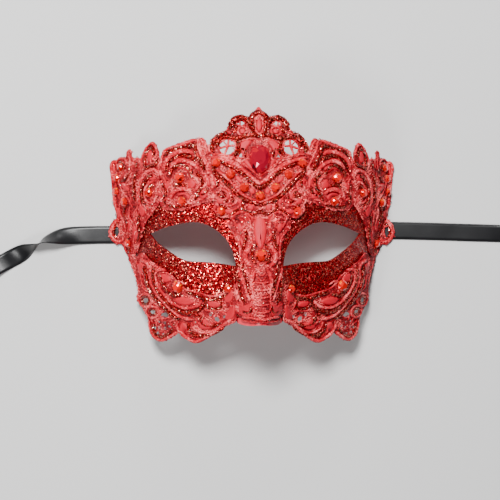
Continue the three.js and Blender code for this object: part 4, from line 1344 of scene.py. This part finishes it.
def cut_stone():
    """A round stone, 2 across: a short girdle, then two rings of facets that each turn half a step."""
    facets = 12
    bpy.ops.mesh.primitive_circle_add(vertices=facets, radius=1, fill_type="NGON")
    stone = bpy.context.object
    bpy.ops.object.mode_set(mode="EDIT")
    bpy.ops.mesh.select_all(action="SELECT")
    bpy.ops.mesh.normals_make_consistent(inside=False)
    for rise, taper in ((0.2, 1.03), (0.34, 0.8), (0.24, 0.62)):
        bpy.ops.mesh.extrude_region_move(TRANSFORM_OT_translate={"value": (0, 0, rise)})
        bpy.ops.transform.resize(value=(taper, taper, 1), center_override=(0, 0, 0))
        bpy.ops.transform.rotate(value=np.pi / facets, orient_axis="Z", center_override=(0, 0, 0))
    bpy.ops.mesh.select_all(action="INVERT")
    bpy.ops.mesh.quads_convert_to_tris(quad_method="SHORTEST_DIAGONAL")
    bpy.ops.mesh.select_all(action="SELECT")
    bpy.ops.mesh.normals_make_consistent(inside=False)
    bpy.ops.object.mode_set(mode="OBJECT")
    return stone


def stone_finish(name, dark, body, fire, flash):
    """Clear acrylic over foil, with painted reflections: by its value each facet is painted dark, the dye's red, a
    brighter painted red, and at the top an orange painted glint; all but the dark facets also emit a little, as
    painted light.
    """
    # The facets emit a little light: painted light, as the stone is no lamp.
    stone = Finish(name, Roughness=0.05, Coat_Weight=0.6, Coat_Roughness=0.02, Emission_Strength=0.45)
    facet = stone.attribute("facet")
    stops = [(0.0, dark), (0.14, dark), (0.24, body), (0.64, body), (0.74, fire), (0.84, fire), (0.95, flash)]
    tone = stone.node("ValToRGB", {"stops": stops}, {"Fac": facet})
    # The emitted colour follows the same ramp: none for the dark facets, half for the body red.
    lit_stops = [(0.0, (0.0, 0.0, 0.0)), (0.14, (0.0, 0.0, 0.0)), (0.24, tuple(0.5 * c for c in body))] + stops[3:]
    glint = stone.node("ValToRGB", {"stops": lit_stops}, {"Fac": facet})
    # Random patches are darkened halfway to the dark facet colour.
    depth = stone.noise(420, 2)
    tone = stone.blend(stone.ramp(depth, 0.62, 0.8) * 0.5, tone, dark)
    stone.feed("Base Color", tone)
    stone.feed("Emission Color", glint)
    stone.feed("Metallic", facet * 0.35 + 0.2)
    return stone.material


# The colours of each stone: the dark of painted reflections, the dye's own red, a painted brighter red and a painted
# glint.
fire_red = stone_finish(
    "fire_red_acrylic", (0.03, 0.0, 0.0), (0.48, 0.0, 0.0), (0.80, 0.0, 0.0), (1.0, 0.30, 0.0)
)
ruby_red = stone_finish(
    "ruby_acrylic", (0.04, 0.0, 0.002), (0.28, 0.0, 0.014), (0.46, 0.0, 0.016), (0.95, 0.05, 0.01)
)
stone_shape = cut_stone()


def turned_centres(centres, spin):
    return (centres @ turn_about_z(np.array([spin]))[0].T)[:, 1]


def set_stone(name, x, y, width, length, above, finish, slot):
    """Glues a copy of the cut stone on the lace, square to the form, in place of its plain solid."""
    stone = stone_shape.copy()
    stone.data = stone_shape.data.copy()
    stone.name = name + "_cut"
    bpy.context.collection.objects.link(stone)
    spin = rng.uniform(0, 2 * np.pi)
    turned = points_of(stone) @ turn_about_z(np.array([spin]))[0].T
    places = turned * (width / 2, length / 2, width / 2) + (x, y, above)
    place_points(stone, on_form(places, middles=np.tile((x, y, 0.0), (len(places), 1))) * MM)
    # Facet values for the painted reflections: random, and higher on the side towards the crown, where the key light
    # hangs, so that those facets are painted brighter; the table's value lies mostly in the body red.
    centres = np.array([face.center for face in stone_shape.data.polygons])
    shade = rng.uniform(0, TOP_LIT, len(centres)) + (1 - TOP_LIT) * (0.5 + 0.5 * (turned_centres(centres, spin)))
    shade[np.argmax(centres[:, 2])] = TABLE_SHADE * rng.uniform(0.7, 1.4)
    stone.data.attributes.new("facet", "FLOAT", "FACE").data.foreach_set("value", shade)
    dress(stone, finish, name)


for name, (x, y, width) in SINGLE_STONES.items():
    set_stone(name, x, y, width, width, STONE_SEAT + 0.35, fire_red, "round_stone")
for name, (x, y, width) in ROUND_STONES.items():
    for side, way in (("right", 1), ("left", -1)):
        at = (-42.8, -33.6) if name == "cheek_stone" and side == "left" else (way * x, y)
        set_stone(f"{name}_{side}", *at, width, width, STONE_SEAT, fire_red, "round_stone")
set_stone("crown_stone", 0, 35.4, 11.5, 15.2, STONE_SEAT, ruby_red, "oval_stone")
bpy.data.objects.remove(stone_shape)


# ---- sewn ribbon ends and their patches ----
# Inside each temple the ribbon's end runs up the shell's inner wall, and a soft felt patch is glued over
# it so that the stitches don't rub.

RIBBON_END = {"fold": 0.5, "far": 9.4}
PATCH = {"width": 9, "length": 16, "inward": 4.8, "under": -3.3, "over": -2.45}

felt = Finish("dark_felt", Roughness=0.95, Sheen_Weight=0.3, Sheen_Roughness=0.6)
fibres = felt.noise(2600, 4)
felt.feed("Base Color", felt.blend(fibres, (0.012, 0.003, 0.004), (0.05, 0.012, 0.015)))
felt.emboss(fibres, 0.8, 0.0004)

for side, (fold, y) in NOTCHES.items():
    way = np.sign(fold)
    reach = abs(fold) - RIBBON_END["fold"], abs(fold) - RIBBON_END["far"]
    half = RIBBON_WIDTH / 2
    strip = [(way * reach[0], y - half)] * 2 + [(way * reach[0], y + half)] * 2
    strip += [(way * reach[1], y + half)] * 2 + [(way * reach[1], y - half)] * 2
    end = cut_sheet(f"sewn_end_{side}", strip, [], -2.0, -1.65, 1.0)
    press(end, shell_height)
    places = points_of(end)
    places[:, 2] = np.maximum(places[:, 2], 0.25 * MM)
    place_points(end, places)
    dress(end, satin, f"ribbon_end_{side}")

    middle = way * (abs(fold) - PATCH["inward"])
    half_width, half_length = PATCH["width"] / 4, PATCH["length"] / 2
    oval = [
        (middle + half_width * np.cos(a) * 1.15, y + half_length * np.sin(a))
        for a in np.radians(range(0, 360, 30))
    ]
    patch = cut_sheet(f"felt_patch_{side}", oval, [], PATCH["under"], PATCH["over"], 1.0)
    press(patch, shell_height)
    dress(patch, felt.material, f"ribbon_patch_{side}")


# ---- floor and lights ----
# A plain pale sweep under the mask, with a soft light high behind the crown, a weaker one low on the left,
# which wakes the glitter of that cheek, and a small one low behind the crown.

bpy.ops.mesh.primitive_plane_add(size=6, location=(0, 0, -0.0002))
floor = bpy.context.object
floor.name = "floor"
pale = Finish("pale_floor", Roughness=0.85)
pale.feed("Base Color", pale.blend(pale.noise(3), (0.50, 0.497, 0.494), (0.54, 0.537, 0.534)))
floor.data.materials.append(pale.material)

LIGHTS = {
    "key": {"place": (-0.22, 0.5, 1.05), "size": 0.3, "power": 36},
    "fill": {"place": (-0.65, -0.6, 0.8), "size": 0.3, "power": 8},
    "rim": {"place": (0.1, 1.1, 0.45), "size": 0.3, "power": 4},
}
for name, light in LIGHTS.items():
    lamp_data = bpy.data.lights.new(name, "AREA")
    lamp_data.size = light["size"]
    lamp_data.energy = light["power"]
    lamp = bpy.data.objects.new(name, lamp_data)
    lamp.location = light["place"]
    lamp.rotation_euler = (-lamp.location).to_track_quat("-Z", "Y").to_euler()
    bpy.context.collection.objects.link(lamp)
world = bpy.data.worlds.new("studio")
bpy.context.scene.world = world
world.use_nodes = True
world.node_tree.nodes["Background"].inputs["Color"].default_value = (0.92, 0.95, 1.0, 1)
world.node_tree.nodes["Background"].inputs["Strength"].default_value = 0.1
